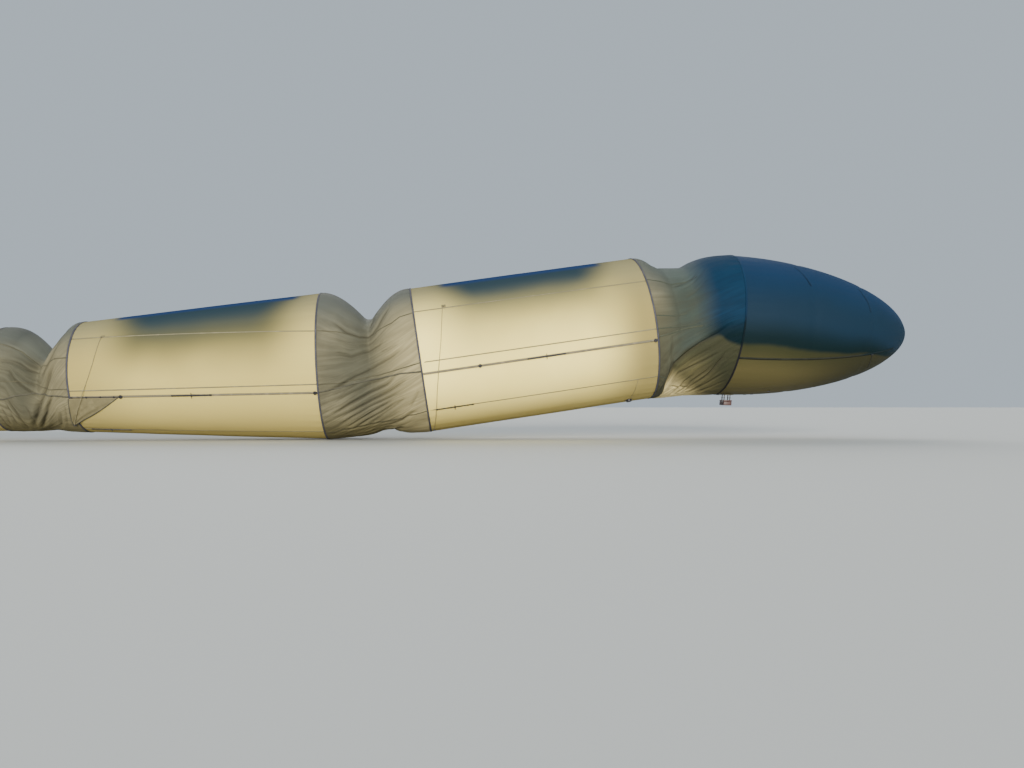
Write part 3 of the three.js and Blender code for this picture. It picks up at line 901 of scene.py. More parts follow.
# The slack sleeves between cells. Everything is drawn as lines of (share of the length, degrees from straight
# up). Flow lines show which way the cloth is pulled, and each fold has its depth and half width in metres.
# The far side takes the same folds, moved a little.
hoopFacts = {"width": 0.038, "seat": 0.0005, "around": 200}
sleeveFacts = {
    "around": 400, "spacing": 0.0215, "thickness": 0.004, "lift": 0.006, "slack": 0.02, "drawn": 1.06,
    "gathers": 54, "gather": 0.006, "gatherReach": 0.16, "hem": 0.05, "pinchAt": 0.6,
    "seamWidth": 0.022, "seamThickness": 0.003, "strapWidth": 0.032, "strapThickness": 0.005,
    "tail": {
        "joint": ("tail", "aft"), "notch": 0.20, "at": 0.50, "wide": 34, "sweep": 20, "left": 2.0, "right": 2.0,
        "around": 280, "fine": 0.010, "fanSize": 0.12, "pinch": 0.0,
        "flow": [
            [(0, 46), (0.5, 62), (1, 46)], [(0, 100), (0.4, 92), (1, 80)],
            [(0, 140), (0.5, 120), (1, 106)], [(0, 168), (0.5, 152), (1, 140)],
        ],
        "folds": [
            ([(0.15, 48), (0.45, 64), (0.75, 48)], 0.028, 0.035),
            ([(0.1, 120), (0.5, 98), (0.85, 84)], 0.030, 0.034),
            ([(0.15, 150), (0.55, 128), (0.9, 112)], 0.028, 0.032),
            ([(0.3, 156), (0.6, 136), (0.9, 124)], 0.02, 0.03),
            ([(0.1, 84), (0.4, 80), (0.7, 72)], 0.018, 0.030),
        ],
        "seams": [[(0, 52), (1, 52)], [(0, 106), (1, 106)], [(0, 160), (1, 160)]],
        "strap": [(0, 112), (1, 112)],
    },
    "aft": {
        "joint": ("aft", "mid"), "notch": 0.94, "at": 0.58, "wide": 60, "sweep": 22, "left": 2.7, "right": 1.9,
        "fine": 0.011, "fanSize": 0.12, "pinch": 0.03,
        "flow": [
            [(0, 60), (0.18, 70), (0.39, 75), (0.49, 82), (0.59, 86), (0.67, 90), (0.73, 78), (0.8, 63),
             (1, 44)],
            [(0, 78), (0.29, 84), (0.36, 95), (0.54, 110), (0.62, 116), (0.72, 106), (0.78, 94), (0.89, 75),
             (1, 66)],
            [(0, 104), (0.1, 106), (0.23, 113), (0.28, 128), (0.36, 140), (0.5, 139), (0.72, 120), (0.9, 100),
             (1, 90)],
            [(0, 120), (0.07, 136), (0.21, 144), (0.29, 160), (0.4, 162), (0.6, 142), (0.83, 120), (1, 112)],
            [(0, 150), (0.07, 166), (0.2, 174), (0.47, 168), (0.77, 148), (0.83, 134), (1, 128)],
        ],
        "folds": [
            ([(0.86, 46), (0.80, 63), (0.78, 68), (0.73, 78), (0.68, 87), (0.66, 97)], 0.075, 0.050),
            ([(0.90, 72), (0.84, 80), (0.78, 94), (0.72, 106), (0.64, 118), (0.5, 139),
              (0.36, 160)], 0.060, 0.044),
            ([(0.83, 108), (0.72, 122), (0.6, 140), (0.47, 160)], 0.040, 0.036),
            ([(0.26, 78), (0.32, 90), (0.36, 95), (0.42, 100), (0.47, 104), (0.54, 110),
              (0.61, 116)], 0.040, 0.034),
            ([(0.08, 71), (0.18, 72), (0.3, 74), (0.39, 78), (0.45, 82), (0.53, 86), (0.63, 90)], 0.024, 0.030),
            ([(0.22, 70), (0.39, 75), (0.49, 82), (0.59, 86), (0.69, 88)], 0.028, 0.032),
            ([(0.21, 106), (0.25, 118), (0.28, 128), (0.29, 136), (0.30, 150), (0.30, 166)], 0.034, 0.034),
            ([(0.19, 110), (0.22, 130), (0.21, 144), (0.24, 158)], 0.022, 0.028),
            ([(0.05, 128), (0.07, 146), (0.08, 166)], 0.024, 0.030),
            ([(0.86, 126), (0.80, 142), (0.74, 156)], 0.022, 0.030),
            ([(0.94, 116), (0.90, 134), (0.84, 152)], 0.015, 0.030),
            ([(0.40, 118), (0.44, 130), (0.44, 146), (0.40, 164)], 0.02, 0.03),
            ([(0.12, 118), (0.14, 134), (0.13, 154)], 0.018, 0.028),
            ([(0.1, 50), (0.28, 55), (0.38, 59), (0.5, 68), (0.58, 77)], 0.016, 0.03),
        ],
        "seams": [
            [(0, 50), (0.14, 52), (0.38, 58), (0.52, 68), (0.6, 77), (0.7, 78), (0.87, 73), (1, 73)],
            [(0, 94), (0.39, 95), (0.52, 98), (0.77, 104), (1, 104)],
        ],
        "strap": [(0, 115), (0.22, 113), (0.33, 110), (0.5, 109), (0.77, 110), (1, 112)],
    },
    "mid": {
        "joint": ("mid", "fore"), "notch": 0.72, "at": 0.51, "wide": 37, "sweep": 32, "left": 1.9, "right": 2.0,
        "fine": 0.010, "fanSize": 0.13, "pinch": 0.12,
        "flow": [
            [(0, 50), (0.12, 58), (0.21, 62), (0.3, 68), (0.43, 71), (0.56, 68), (0.69, 54), (0.79, 42),
             (1, 32)],
            [(0, 86), (0.24, 86), (0.34, 88), (0.5, 84), (0.62, 80), (0.8, 74), (1, 66)],
            [(0, 112), (0.19, 109), (0.36, 102), (0.58, 95), (0.73, 90), (0.83, 85), (1, 76)],
            [(0, 138), (0.07, 134), (0.28, 124), (0.48, 116), (0.66, 110), (0.75, 104), (1, 96)],
            [(0, 152), (0.11, 146), (0.28, 137), (0.45, 128), (0.64, 121), (0.79, 115), (1, 106)],
            [(0, 168), (0.28, 152), (0.42, 142), (0.58, 133), (0.72, 124), (1, 116)],
            [(0, 178), (0.3, 168), (0.61, 151), (0.75, 144), (0.86, 136), (1, 130)],
        ],
        "folds": [
            ([(0.08, 55), (0.21, 62), (0.3, 68), (0.43, 71), (0.56, 68), (0.62, 63), (0.69, 54),
              (0.82, 38)], 0.038, 0.036),
            ([(0.04, 71), (0.21, 74), (0.39, 78), (0.52, 78), (0.62, 74), (0.71, 67), (0.82, 62),
              (0.97, 60)], 0.012, 0.028),
            ([(0.13, 86), (0.24, 86), (0.34, 88), (0.42, 86), (0.5, 84), (0.62, 80), (0.72, 73)], 0.030, 0.032),
            ([(0.60, 86), (0.72, 83), (0.84, 79)], 0.018, 0.030),
            ([(0.17, 83), (0.25, 84), (0.34, 86)], 0.014, 0.028),
            ([(0.0, 111), (0.08, 112), (0.19, 109), (0.36, 102), (0.48, 99), (0.58, 95), (0.73, 90),
              (0.83, 85), (0.94, 78)], 0.045, 0.034),
            ([(0.09, 117), (0.28, 111), (0.42, 107)], 0.016, 0.028),
            ([(0.08, 123), (0.32, 114), (0.51, 108), (0.72, 104)], 0.022, 0.03),
            ([(0.05, 135), (0.28, 124), (0.48, 116), (0.66, 110), (0.80, 102)], 0.036, 0.032),
            ([(0.10, 139), (0.36, 128), (0.58, 119), (0.79, 110), (0.94, 102)], 0.034, 0.032),
            ([(0.08, 148), (0.28, 137), (0.45, 128), (0.64, 121), (0.84, 113)], 0.030, 0.030),
            ([(0.18, 150), (0.39, 138), (0.54, 130), (0.74, 120)], 0.026, 0.028),
            ([(0.24, 154), (0.42, 142), (0.58, 133), (0.78, 121)], 0.026, 0.028),
            ([(0.38, 151), (0.57, 137), (0.71, 128), (0.86, 119)], 0.024, 0.028),
            ([(0.84, 132), (0.92, 121), (0.97, 113)], 0.016, 0.028),
            ([(0.56, 154), (0.75, 144), (0.86, 136), (0.96, 133)], 0.030, 0.034),
            ([(0.10, 153), (0.41, 149), (0.58, 147), (0.76, 143)], 0.020, 0.030),
            ([(0.14, 169), (0.45, 161), (0.72, 152)], 0.028, 0.034),
            ([(0.50, 66), (0.56, 50), (0.62, 34), (0.68, 18)], 0.028, 0.035),
            ([(0.60, 178), (0.66, 164), (0.76, 154)], 0.055, 0.055),
        ],
        "seams": [
            [(0, 66), (0.21, 68), (0.43, 72), (0.61, 68), (0.77, 63), (0.86, 58), (1, 55)],
            [(0, 106), (0.2, 106), (0.6, 102), (1, 95)],
            [(0, 155), (0.5, 147), (0.91, 137), (1, 135)],
        ],
        "strap": [(0, 112), (0.18, 110), (0.35, 107), (0.57, 105), (0.8, 102), (1, 101.5)],
    },
    "fore": {
        "joint": ("fore", "nose"), "notch": 0.28, "at": 0.345, "wide": 50, "sweep": 26,
        "left": 1.05, "right": 3.0, "flat": 0.25, "fine": 0.010, "fanSize": 0.14, "pinch": 0.0,
        "flow": [
            [(0, 54), (0.23, 56), (0.41, 52), (0.55, 43), (1, 30)],
            [(0, 101), (0.14, 99), (0.28, 96), (0.47, 92), (1, 78)],
            [(0, 172), (0.07, 154), (0.12, 142), (0.18, 124), (0.34, 116), (0.52, 108), (0.68, 102),
             (0.81, 96), (1, 92)],
            [(0, 175), (0.14, 150), (0.24, 135), (0.41, 128), (0.61, 121), (0.72, 117), (1, 108)],
            [(0, 177), (0.2, 170), (0.38, 160), (0.49, 150), (0.66, 138), (0.77, 126), (1, 114)],
            [(0, 179), (0.3, 175), (0.51, 166), (0.64, 151), (0.77, 142), (0.9, 134), (1, 128)],
        ],
        "folds": [
            ([(0.03, 164), (0.07, 154), (0.12, 142), (0.18, 124), (0.34, 116), (0.52, 108), (0.68, 102),
              (0.81, 96), (0.94, 92)], 0.060, 0.045),
            ([(0.18, 140), (0.24, 134), (0.41, 128), (0.61, 121), (0.78, 114)], 0.030, 0.032),
            ([(0.32, 174), (0.42, 160), (0.49, 150), (0.66, 138), (0.77, 124), (0.88, 112)], 0.042, 0.036),
            ([(0.44, 174), (0.55, 160), (0.64, 151), (0.77, 142), (0.95, 131)], 0.036, 0.034),
            ([(0.12, 147), (0.34, 150), (0.48, 153)], 0.020, 0.028),
            ([(0.10, 148), (0.14, 124), (0.15, 110), (0.17, 96)], 0.022, 0.030),
            ([(0.05, 168), (0.07, 143), (0.11, 122)], 0.022, 0.030),
            ([(0.26, 174), (0.36, 158), (0.50, 142), (0.64, 132), (0.78, 119)], 0.026, 0.030),
            ([(0.58, 174), (0.72, 158), (0.86, 148), (0.98, 142)], 0.026, 0.032),
            ([(0.20, 174), (0.26, 160), (0.36, 144), (0.54, 131)], 0.026, 0.030),
            ([(0.21, 61), (0.33, 56), (0.45, 50), (0.60, 40)], 0.016, 0.030),
            ([(0.28, 65), (0.44, 57), (0.58, 47), (0.70, 35)], 0.013, 0.03),
            ([(0.32, 73), (0.5, 64), (0.68, 51)], 0.010, 0.030),
        ],
        "seams": [
            [(0, 54), (0.23, 56), (0.41, 52), (0.55, 47)], [(0, 95), (0.3, 94), (0.5, 92)],
            [(0, 85), (0.2, 86), (0.36, 84)], [(0, 135), (0.12, 137)],
        ],
        "strap": [(0, 101), (0.14, 99), (0.28, 96.5), (0.42, 95), (0.52, 94.5)],
    },
}


# How far points lie from a drawn line: which side, how far along, in metres on the flat cloth.
def lineDistance(x, y, px, py):
    legs = np.hypot(np.diff(px), np.diff(py))
    run = np.concatenate([[0], np.cumsum(legs)])
    best, signed, where = np.full(x.shape, 1e9), np.zeros(x.shape), np.zeros(x.shape)
    for k, leg in enumerate(legs):
        ux, uy = (px[k + 1] - px[k]) / leg, (py[k + 1] - py[k]) / leg
        t = np.clip((x - px[k]) * ux + (y - py[k]) * uy, 0, leg)
        gap = np.hypot(x - px[k] - t * ux, y - py[k] - t * uy)
        side = np.sign((x - px[k]) * uy - (y - py[k]) * ux)
        near = gap < best
        best = np.where(near, gap, best)
        signed = np.where(near, gap * side, signed)
        where = np.where(near, (run[k] + t) / run[-1], where)
    return signed, where


# A fold's section, in half widths: its soft rolls as (place, spread, height), and how the painted shade in its
# crease narrows and darkens.
foldFacts = {
    "wander": 0.035, "taper": 0.25, "rolls": [(2.2, 1.5, 1.0), (-2.4, 1.4, 0.5)], "rollShare": 0.5,
    "creasePower": 1.25, "darkWidth": 0.7, "darkPower": 1.6, "darkFrom": 0.35, "darkDepth": 0.06,
}


# One fold: a sharp crease with painted shade in it and a soft roll standing up on both sides, dying away at
# both ends.
def foldShape(x, y, line, length, radius, depth, width):
    points = np.array(line, float)
    wander = foldFacts["wander"] * (noise2(x * 2.1 + depth * 90, y * 2.1, 7) - 0.5)
    signed, where = lineDistance(x, y + wander, points[:, 0] * length, np.radians(points[:, 1]) * radius)
    taper = smoothStep(0, foldFacts["taper"], np.minimum(where, 1 - where))
    groove = np.exp(-(np.abs(signed) / width) ** foldFacts["creasePower"])
    roll = sum(high * np.exp(-((signed - off * width) / (spread * width)) ** 2)
               for off, spread, high in foldFacts["rolls"])
    narrow = np.exp(-(np.abs(signed) / (foldFacts["darkWidth"] * width)) ** foldFacts["darkPower"])
    dark = min(1.0, foldFacts["darkFrom"] + depth / foldFacts["darkDepth"])
    return depth * taper * (foldFacts["rollShare"] * roll - groove), taper * narrow * dark


# All the drawn folds of a sleeve: how far they lift or sink the cloth, and how dark their painted crease shade
# is.
def foldHeights(shape, x, y, right, length, radius):
    height, dark = np.zeros_like(x), np.zeros_like(x)
    for k, (line, depth, width) in enumerate(shape["folds"]):
        moved = [(a + 0.05 * math.sin(k * 2.1), b + 4 * math.cos(k * 1.7)) for a, b in line]
        near, far = (foldShape(x, y, path, length, radius, depth, width) for path in (line, moved))
        height += np.where(right, near[0], far[0])
        dark = np.maximum(dark, np.where(right, near[1], far[1]))
    return height, dark


# Which way the cloth is pulled: how many of the flow lines a point lies below, as a running number.
def flowLevel(curves, s, fold):
    levels = np.zeros_like(s)
    low = np.zeros_like(s)
    for curve in curves:
        table = np.array(curve, float)
        high = np.maximum(np.interp(s, table[:, 0], table[:, 1]), low + 2.0)
        levels += np.clip((fold - low) / (high - low), 0, 1)
        low = high
    return levels


# How far the V-shaped notch over the top and the pinch below draw the cloth in.
def notchDepth(shape, s, fold):
    toMiddle = np.where(s < shape["at"], s / shape["at"], (1 - s) / (1 - shape["at"]))
    toMiddle = np.clip(toMiddle * (1 + shape.get("flat", 0)), 0, 1)
    # the valley's floor is round
    toMiddle = np.clip(1 - np.sqrt((1 - toMiddle) ** 2 + 0.0004) + 0.02 * toMiddle, 0, 1)
    power = np.where(s < shape["at"], shape["left"], shape["right"])
    valley = toMiddle ** power * (1 - 0.12 * np.clip(toMiddle * 8 - 7, 0, 1) ** 2)
    reach = shape["wide"] + shape["sweep"] * toMiddle ** 3
    pinch = np.exp(-((180 - fold) / 22) ** 2) * np.exp(-((s - sleeveFacts["pinchAt"]) / 0.12) ** 2)
    return shape["notch"] * valley * np.exp(-(fold / reach) ** 2.6) + shape["pinch"] * pinch


# How far out the end dome of a cell reaches, with room for the cloth, at a distance past its hoop.
def domeRadius(radius, past):
    share = np.clip((past - cellFacts["lip"]) / (cellFacts["domeDepth"] * radius), 0, 1)
    room = 0.008 - 0.03 * smoothStep(0.0, 0.06, cellFacts["lip"] + 0.03 - past)
    return radius * np.sqrt(1 - share ** 2) + room


# The space that a sleeve spans, from the hoop behind to the hoop in front.
def sleeveSpan(shape):
    rear, front = (cells[name] for name in shape["joint"])
    half = hoopFacts["width"] / 2 + hoopFacts["seat"]
    start = rear["origin"] + rear["axis"] * (rear["length"] + half)
    stop = front["origin"] - front["axis"] * half
    return {"rear": rear, "front": front, "half": half, "start": start, "stop": stop,
            "length": (stop - start).length, "radius": (rear["front"] + front["rear"]) / 2}


def sleeveSurface(name, facts, span):
    shape = facts[name]
    rear, front, length, middle = span["rear"], span["front"], span["length"], span["radius"]
    seed = cellFacts["names"].index(name) * 5.3 + 2
    flowLines = shape["flow"] + [[(0, 180), (1, 180)]]
    leap = span["stop"] - span["start"]

    def surface(s, degrees, lift=0.0):
        degrees = np.mod(degrees, 360)
        right = degrees <= 180
        fold = np.where(right, degrees, 360 - degrees)
        x, y = s * length, np.radians(fold) * middle
        base = rear["front"] + (front["rear"] - rear["front"]) * s + facts["lift"]
        ease = np.sin(np.pi * np.clip(s, 0, 1))
        height, dark = foldHeights(shape, x, y, right, length, middle)
        height -= notchDepth(shape, s, fold) + facts["slack"] * base * ease ** 2
        flow = flowLevel(flowLines, s, fold)
        across = flow * math.pi * middle / len(flowLines)
        fans = ridges(across / shape["fanSize"], x / 1.1, seed)
        fans += 0.5 * ridges(across / (shape["fanSize"] * 0.45), x / 0.8, seed + 3)
        calm = (0.3 + 0.7 * smoothStep(20, 80, fold)) * ease ** 0.5
        height += shape["fine"] * fans * calm
        waves = np.sin(np.radians(degrees) * facts["gathers"] + 5 * noise2(fold / 14, s * 2, seed))
        near = np.exp(-x / facts["gatherReach"]) + np.exp(-(length - x) / facts["gatherReach"])
        height += facts["gather"] * waves * near * (0.3 + noise2(fold / 8, s * 3, seed + 4))
        hem = smoothStep(0.0, facts["hem"], x) * smoothStep(0.0, facts["hem"], length - x)
        r = np.maximum(base + height * hem, domeRadius(rear["front"], x + span["half"]))
        r = np.maximum(r, domeRadius(front["rear"], length - x + span["half"])) + lift
        # painted shade in the hollows between the fans
        dark = np.clip(dark + np.clip(-fans - 0.6, 0, 1) * 0.25 * calm, 0, 1) * hem
        turn = np.radians(degrees)
        up = np.multiply.outer(1 - s, np.array(rear["up"])) + np.multiply.outer(s, np.array(front["up"]))
        up /= np.linalg.norm(up, axis=1)[:, None]
        points = np.array(span["start"]) + np.multiply.outer(s, np.array(leap))
        points = points + (np.cos(turn) * r)[:, None] * up - np.multiply.outer(np.sin(turn) * r, (0, 1, 0))
        return np.column_stack([points, dark, flow, x])

    return surface


# A tape sewn on a sleeve, following all its folds.
def sleeveBand(name, surface, path, span, width, thickness):
    path = np.array(path, float)
    length, radius, step = span["length"], span["radius"], 0.01
    px, py = path[:, 0] * length, np.radians(path[:, 1]) * radius
    run = np.concatenate([[0], np.cumsum(np.hypot(np.diff(px), np.diff(py)))])

    def place(along, across):
        s = along * run[-1]
        x, y = np.interp(s, run, px), np.interp(s, run, py)
        dx = np.interp(s + step, run, px) - np.interp(s - step, run, px)
        dy = np.interp(s + step, run, py) - np.interp(s - step, run, py)
        size = np.hypot(dx, dy)
        off = (across - 0.5) * width
        x, y = np.clip(x - off * dy / size, 0, length), y + off * dx / size
        return surface(x / length, np.degrees(y / radius), 0.004 + thickness / 2)[:, :3]

    band = wrapCloth(name, int(run[-1] / 0.022), 2, place)
    thicken(band, thickness)
    return band


def sleeveCloth(name, facts):
    shape = facts[name]
    span = sleeveSpan(shape)
    surface = sleeveSurface(name, facts, span)
    rows, around = int(span["length"] / facts["spacing"]), shape.get("around", facts["around"])
    cloth = wrapCloth(name + "_sleeve_cloth", rows, around, lambda along, turn: surface(along, turn * 360))
    thicken(cloth, facts["thickness"])
    finishPiece(cloth, name + "Cloth", None, name + "_sleeve")
    bands = {"seam": [], "strap": []}
    for side, _ in handSides:
        for kind, paths in (("seam", shape["seams"]), ("strap", [shape["strap"]])):
            for path in paths:
                turned = [(share, side * degrees) for share, degrees in path]
                size = facts[kind + "Width"], facts[kind + "Thickness"]
                bands[kind].append(sleeveBand(kind, surface, turned, span, *size))
    # the fore sleeve's tapes take the darker finishes of its painted shade
    tint = "dusk" if name == "fore" else "cloth"
    sewn = []
    for kind, parts in bands.items():
        piece = joinInto(f"{name}_sleeve_{kind}s", parts)
        sewn.append(finishPiece(piece, tint + kind.title(), None))
    for piece in [cloth] + sewn:
        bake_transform(piece)
    flat = (2 * math.pi * (span["radius"] + facts["lift"]), span["length"] * facts["drawn"])
    hoops = [span["rear"]["name"] + "_front_hoop", span["front"]["name"] + "_rear_hoop"]


for name in ("tail", "aft", "mid", "fore"):
    sleeveCloth(name, sleeveFacts)
print("sleeves hung")


# The hoops that hold the ends of the cells: thick doubled webbing.
def hoopRing(cell, end, facts):
    node = f"{cell['name']}_{end}_hoop"
    x = 0.0 if end == "rear" else cell["length"]
    height = cellFacts["hoopHeight"]
    turn = cell["axis"].to_track_quat("Z", "Y").to_euler()
    foot = Vector(onCell(cell, x, 0.0, 0.0)) - cell["axis"] * (facts["width"] / 2)
    startClean()
    bpy.ops.mesh.primitive_circle_add(vertices=facts["around"], radius=cell[end] + facts["seat"], location=foot,
                                      rotation=turn)
    ring = rename(bpy.context.object, node + "_webbing")
    bpy.ops.object.transform_apply(location=True, rotation=True, scale=True)
    bpy.ops.object.mode_set(mode="EDIT")
    bpy.ops.mesh.select_all(action="SELECT")
    move = cell["axis"] * facts["width"]
    bpy.ops.mesh.extrude_region_move(TRANSFORM_OT_translate={"value": move})
    mend()
    thicken(ring, height - facts["seat"], 1)
    bevelled(ring, 0.4 * height, 3, limit=30, smooth=50)
    finishPiece(ring, "noseHoop" if cell["name"] == "nose" else "hoop", cell["name"], node)


for cell in cells.values():
    hoopRing(cell, "rear", hoopFacts)
    if cell["front"]:
        hoopRing(cell, "front", hoopFacts)
print("hoops set")


# Rails: webbing sewn along each side, with bar-tacked ends and round buttons that rods plug into.
railFacts = {
    "start": 0.022, "width": 0.050, "thickness": 0.005, "lift": 0.001,
    "edge": 0.007, "edgeThickness": 0.003, "edgeInset": 0.01,
    "fold": 0.16, "foldWidth": 0.045, "foldThickness": 0.004,
    "button": 0.042, "buttonHeight": 0.030, "buttonEnd": 0.042,
    "screws": 4, "screwRadius": 0.0035, "screwAt": 0.62,
    "buttonAt": {"aft": 0.2, "mid": 0.205, "fore": 0.24}, "side": {"aft": 112.5, "mid": 112.5, "fore": 103.5},
    "noseSide": 121.5, "noseStop": 0.88, "stitching": 0.030,
}


def buttonModel(facts):
    r, h = facts["button"], facts["buttonHeight"]
    base = turnedPart("base", [
        (0, 0.002), (r, 0.002), (r, 0.008), (r * 0.82, 0.012), (r * 0.8, h * 0.62), (r * 0.9, h * 0.74),
        (r * 0.86, h), (r * 0.45, h), (r * 0.4, h * 0.72), (0, h * 0.72),
    ])
    parts, out = [base], r * facts["screwAt"]
    for k in range(facts["screws"]):
        a = math.radians(45 + 360 / facts["screws"] * k)
        at = (out * math.cos(a), out * math.sin(a), h + 0.001)
        parts.append(rod("screw", facts["screwRadius"], 0.004, at, sides=8))
    return joinInto("button", parts)


def sideRails(cell, facts, button):
    degrees, over = facts["side"][cell["name"]], facts["thickness"]
    start, stop = facts["start"], cell["length"] - facts["start"]
    for side, hand in handSides:
        spot = side * degrees
        parts = [hullBand("strap", cell, [(start, spot), (stop, spot)], facts["width"], over, facts["lift"])]
        for way in (-0.5, 0.5):
            turn = math.degrees(way * (facts["width"] - facts["edge"]) / cell["front"])
            path = [(start + facts["edgeInset"], spot + turn), (stop - facts["edgeInset"], spot + turn)]
            parts.append(hullBand("edge", cell, path, facts["edge"], facts["edgeThickness"], over, spacing=0.1))
        for x in (start, stop - facts["fold"]):
            path = [(x, spot), (x + facts["fold"], spot)]
            parts.append(hullBand("fold", cell, path, facts["foldWidth"], facts["foldThickness"], over))
        rail = joinInto(f"{cell['name']}_rail_webbing_{hand}", parts)
        finishPiece(rail, "strap", cell["name"], f"{cell['name']}_rail_{hand}")
        for k, x in enumerate((cell["length"] * facts["buttonAt"][cell["name"]], stop - facts["buttonEnd"])):
            knob = copyTo(button, f"{cell['name']}_rail_button_{hand}_{k + 1}", filmSeat(cell, x, spot, over))
            finishPiece(knob, "fitting", cell["name"])


def noseRails(cell, facts):
    for side, hand in handSides:
        spot = side * facts["noseSide"]
        path = [(facts["start"], spot), (cell["length"] * facts["noseStop"], spot)]
        sizes = (("strap", facts["width"], facts["thickness"], facts["lift"]),
                 ("stitching", facts["stitching"], facts["edgeThickness"], facts["lift"] + facts["thickness"]))
        parts = [hullBand(part, cell, path, *size, spacing=0.03) for part, *size in sizes]
        rail = joinInto(f"nose_rail_webbing_{hand}", parts)
        finishPiece(rail, "noseStrap", "nose", f"nose_rail_{hand}")


buttonPart = buttonModel(railFacts)
for name in ("aft", "mid", "fore"):
    sideRails(cells[name], railFacts, buttonPart)
bpy.data.objects.remove(buttonPart)
noseRails(cells["nose"], railFacts)
print("rails sewn")


# Mounting bars: a flat pole in two sleeves, with end caps, lashings and a cross pin at its middle.
barFacts = {
    "length": 0.85, "width": 0.040, "height": 0.014, "at": {"aft": 0.49, "mid": 0.49, "fore": 0.52},
    "lowAt": 0.115, "low": {"aft": 157.5, "mid": 157.5, "fore": 135}, "pin": 0.110, "seat": 0.004,
    "sleeveAt": 0.12, "lashings": 3, "lashingAt": 0.27, "lashingStep": 0.014, "boltAt": 0.017,
}


def barModel(facts):
    half, width, height, narrow = facts["length"] / 2, facts["width"], facts["height"], facts["width"] * 0.86
    middle, pinHeight, across = height / 2, height + 0.006, (math.pi / 2, 0, 0)
    parts = [block("pole", (facts["length"] - 0.03, width * 0.72, height * 0.8), (0, 0, middle), 0.005, 3)]
    for way in (-1, 1):
        parts.append(block("cap", (0.05, width, height), (way * (half - 0.025), 0, middle), 0.005, 3))
        parts.append(block("sleeve", (0.11, narrow, height), (way * facts["sleeveAt"], 0, middle), 0.004, 3))
        for step in range(facts["lashings"]):
            x = way * (facts["lashingAt"] + step * facts["lashingStep"])
            parts.append(block("lashing", (0.009, narrow, height + 0.002), (x, 0, middle), 0.003, 2))
        parts.append(rod("pinHead", 0.0085, 0.010, (0, way * facts["pin"] / 2, pinHeight), across, 16, 0.002))
    parts.append(block("clamp", (0.052, width, height + 0.006), (0, 0, middle + 0.003), 0.004, 3))
    parts.append(rod("pin", 0.006, facts["pin"], (0, 0, pinHeight), across, 16))
    for x in (-facts["boltAt"], facts["boltAt"]):
        parts.append(rod("bolt", 0.0045, 0.006, (x, 0, height + 0.009), sides=6))
    return joinInto("bar", parts)


def mountBars(cell, facts, model):
    name = cell["name"]
    onRail = railFacts["thickness"] + facts["seat"]
    spots = (("side_pole", "bar", facts["at"][name], railFacts["side"][name], onRail),
             ("low_pole", "low_bar", facts["lowAt"], facts["low"][name], facts["seat"]))
    for side, hand in handSides:
        for part, node, share, degrees, lift in spots:
            seat = filmSeat(cell, cell["length"] * share, side * degrees, lift)
            bar = copyTo(model, f"{name}_{part}_{hand}", seat)
            finishPiece(bar, "fitting", name, f"{name}_{node}_{hand}")


barPart = barModel(barFacts)
for name in ("aft", "mid", "fore"):
    mountBars(cells[name], barFacts, barPart)
bpy.data.objects.remove(barPart)
print("poles mounted")


# A round rope through a list of points, straight between them.
def ropeThrough(name, points, radius, sides=10):
    path = np.array([list(p) for p in points], float)
    run = np.concatenate([[0], np.cumsum(np.linalg.norm(np.diff(path, axis=0), axis=1))])
    step = 0.02

    def spotAt(s):
        return np.column_stack([np.interp(s, run, path[:, k]) for k in range(3)])

    def place(along, around):
        s = along * run[-1]
        ahead = spotAt(s + step) - spotAt(s - step)
        ahead /= np.linalg.norm(ahead, axis=1)[:, None]
        side = np.cross(ahead, (1.0, 0.02, 0.03))
        side /= np.linalg.norm(side, axis=1)[:, None]
        up = np.cross(side, ahead)
        turn = around * 2 * np.pi
        return spotAt(s) + side * (np.cos(turn) * radius)[:, None] + up * (np.sin(turn) * radius)[:, None]

    rope = wrapCloth(name, max(2, len(points) - 1), sides, place)
    bpy.context.view_layer.objects.active = rope
    mend(close=True)
    return rope


# A small cleat: its foot and its horn, with their middles at two heights.
def cleatParts(foot, horn):
    return [block("cleat", (0.058, 0.030, 0.014), (0, 0, foot), 0.004, 3),
            block("horn", (0.074, 0.012, 0.010), (0, 0, horn), 0.004, 3)]


# Stays: a thin rope down each side, slanting back from a sewn tab to a foot beside the hoop. Each crossing
# gives the degrees where the rope starts to rise over a rail or bar, is up, starts to sink and is down. The
# middle cell's stay ends on the corner cloth, so it stays up.
stayFacts = {
    "radius": 0.006, "rows": 72, "low": 0.010, "high": {"aft": 0.034, "mid": 0.046, "fore": 0.034},
    "tab": (0.090, 0.066, 0.004), "hem": (0.078, 0.054, 0.003), "tabLift": 0.004, "tabForward": 0.0225,
    "topRing": (0.9, 0.016, 0.012), "footRing": (-1.0, 0.014, 0.006), "wire": 0.003,
    "cleat": (0.012, 0.9), "cleatLift": {"aft": 0.002, "mid": 0.030, "fore": 0.002},
    "path": {
        "aft": [(0.66, 52), (0.058, 141)],
        "mid": [
            (0.655, 52), (0.6, 68), (0.54, 81), (0.46, 91.5), (0.38, 100), (0.21, 117), (0.08, 128.5),
            (-0.1, 146.5),
        ],
        "fore": [
            (0.65, 52), (0.57, 68), (0.5, 81), (0.36, 101.5), (0.27, 117), (0.19, 133.5), (0.12, 152),
            (0.07, 168),
        ],
    },
    "crossings": {
        "aft": [(99, 106, 120, 127)], "mid": [(99, 108, 180, 187)],
        "fore": [(91, 98, 109, 116), (122, 130, 140, 148)],
    },
}


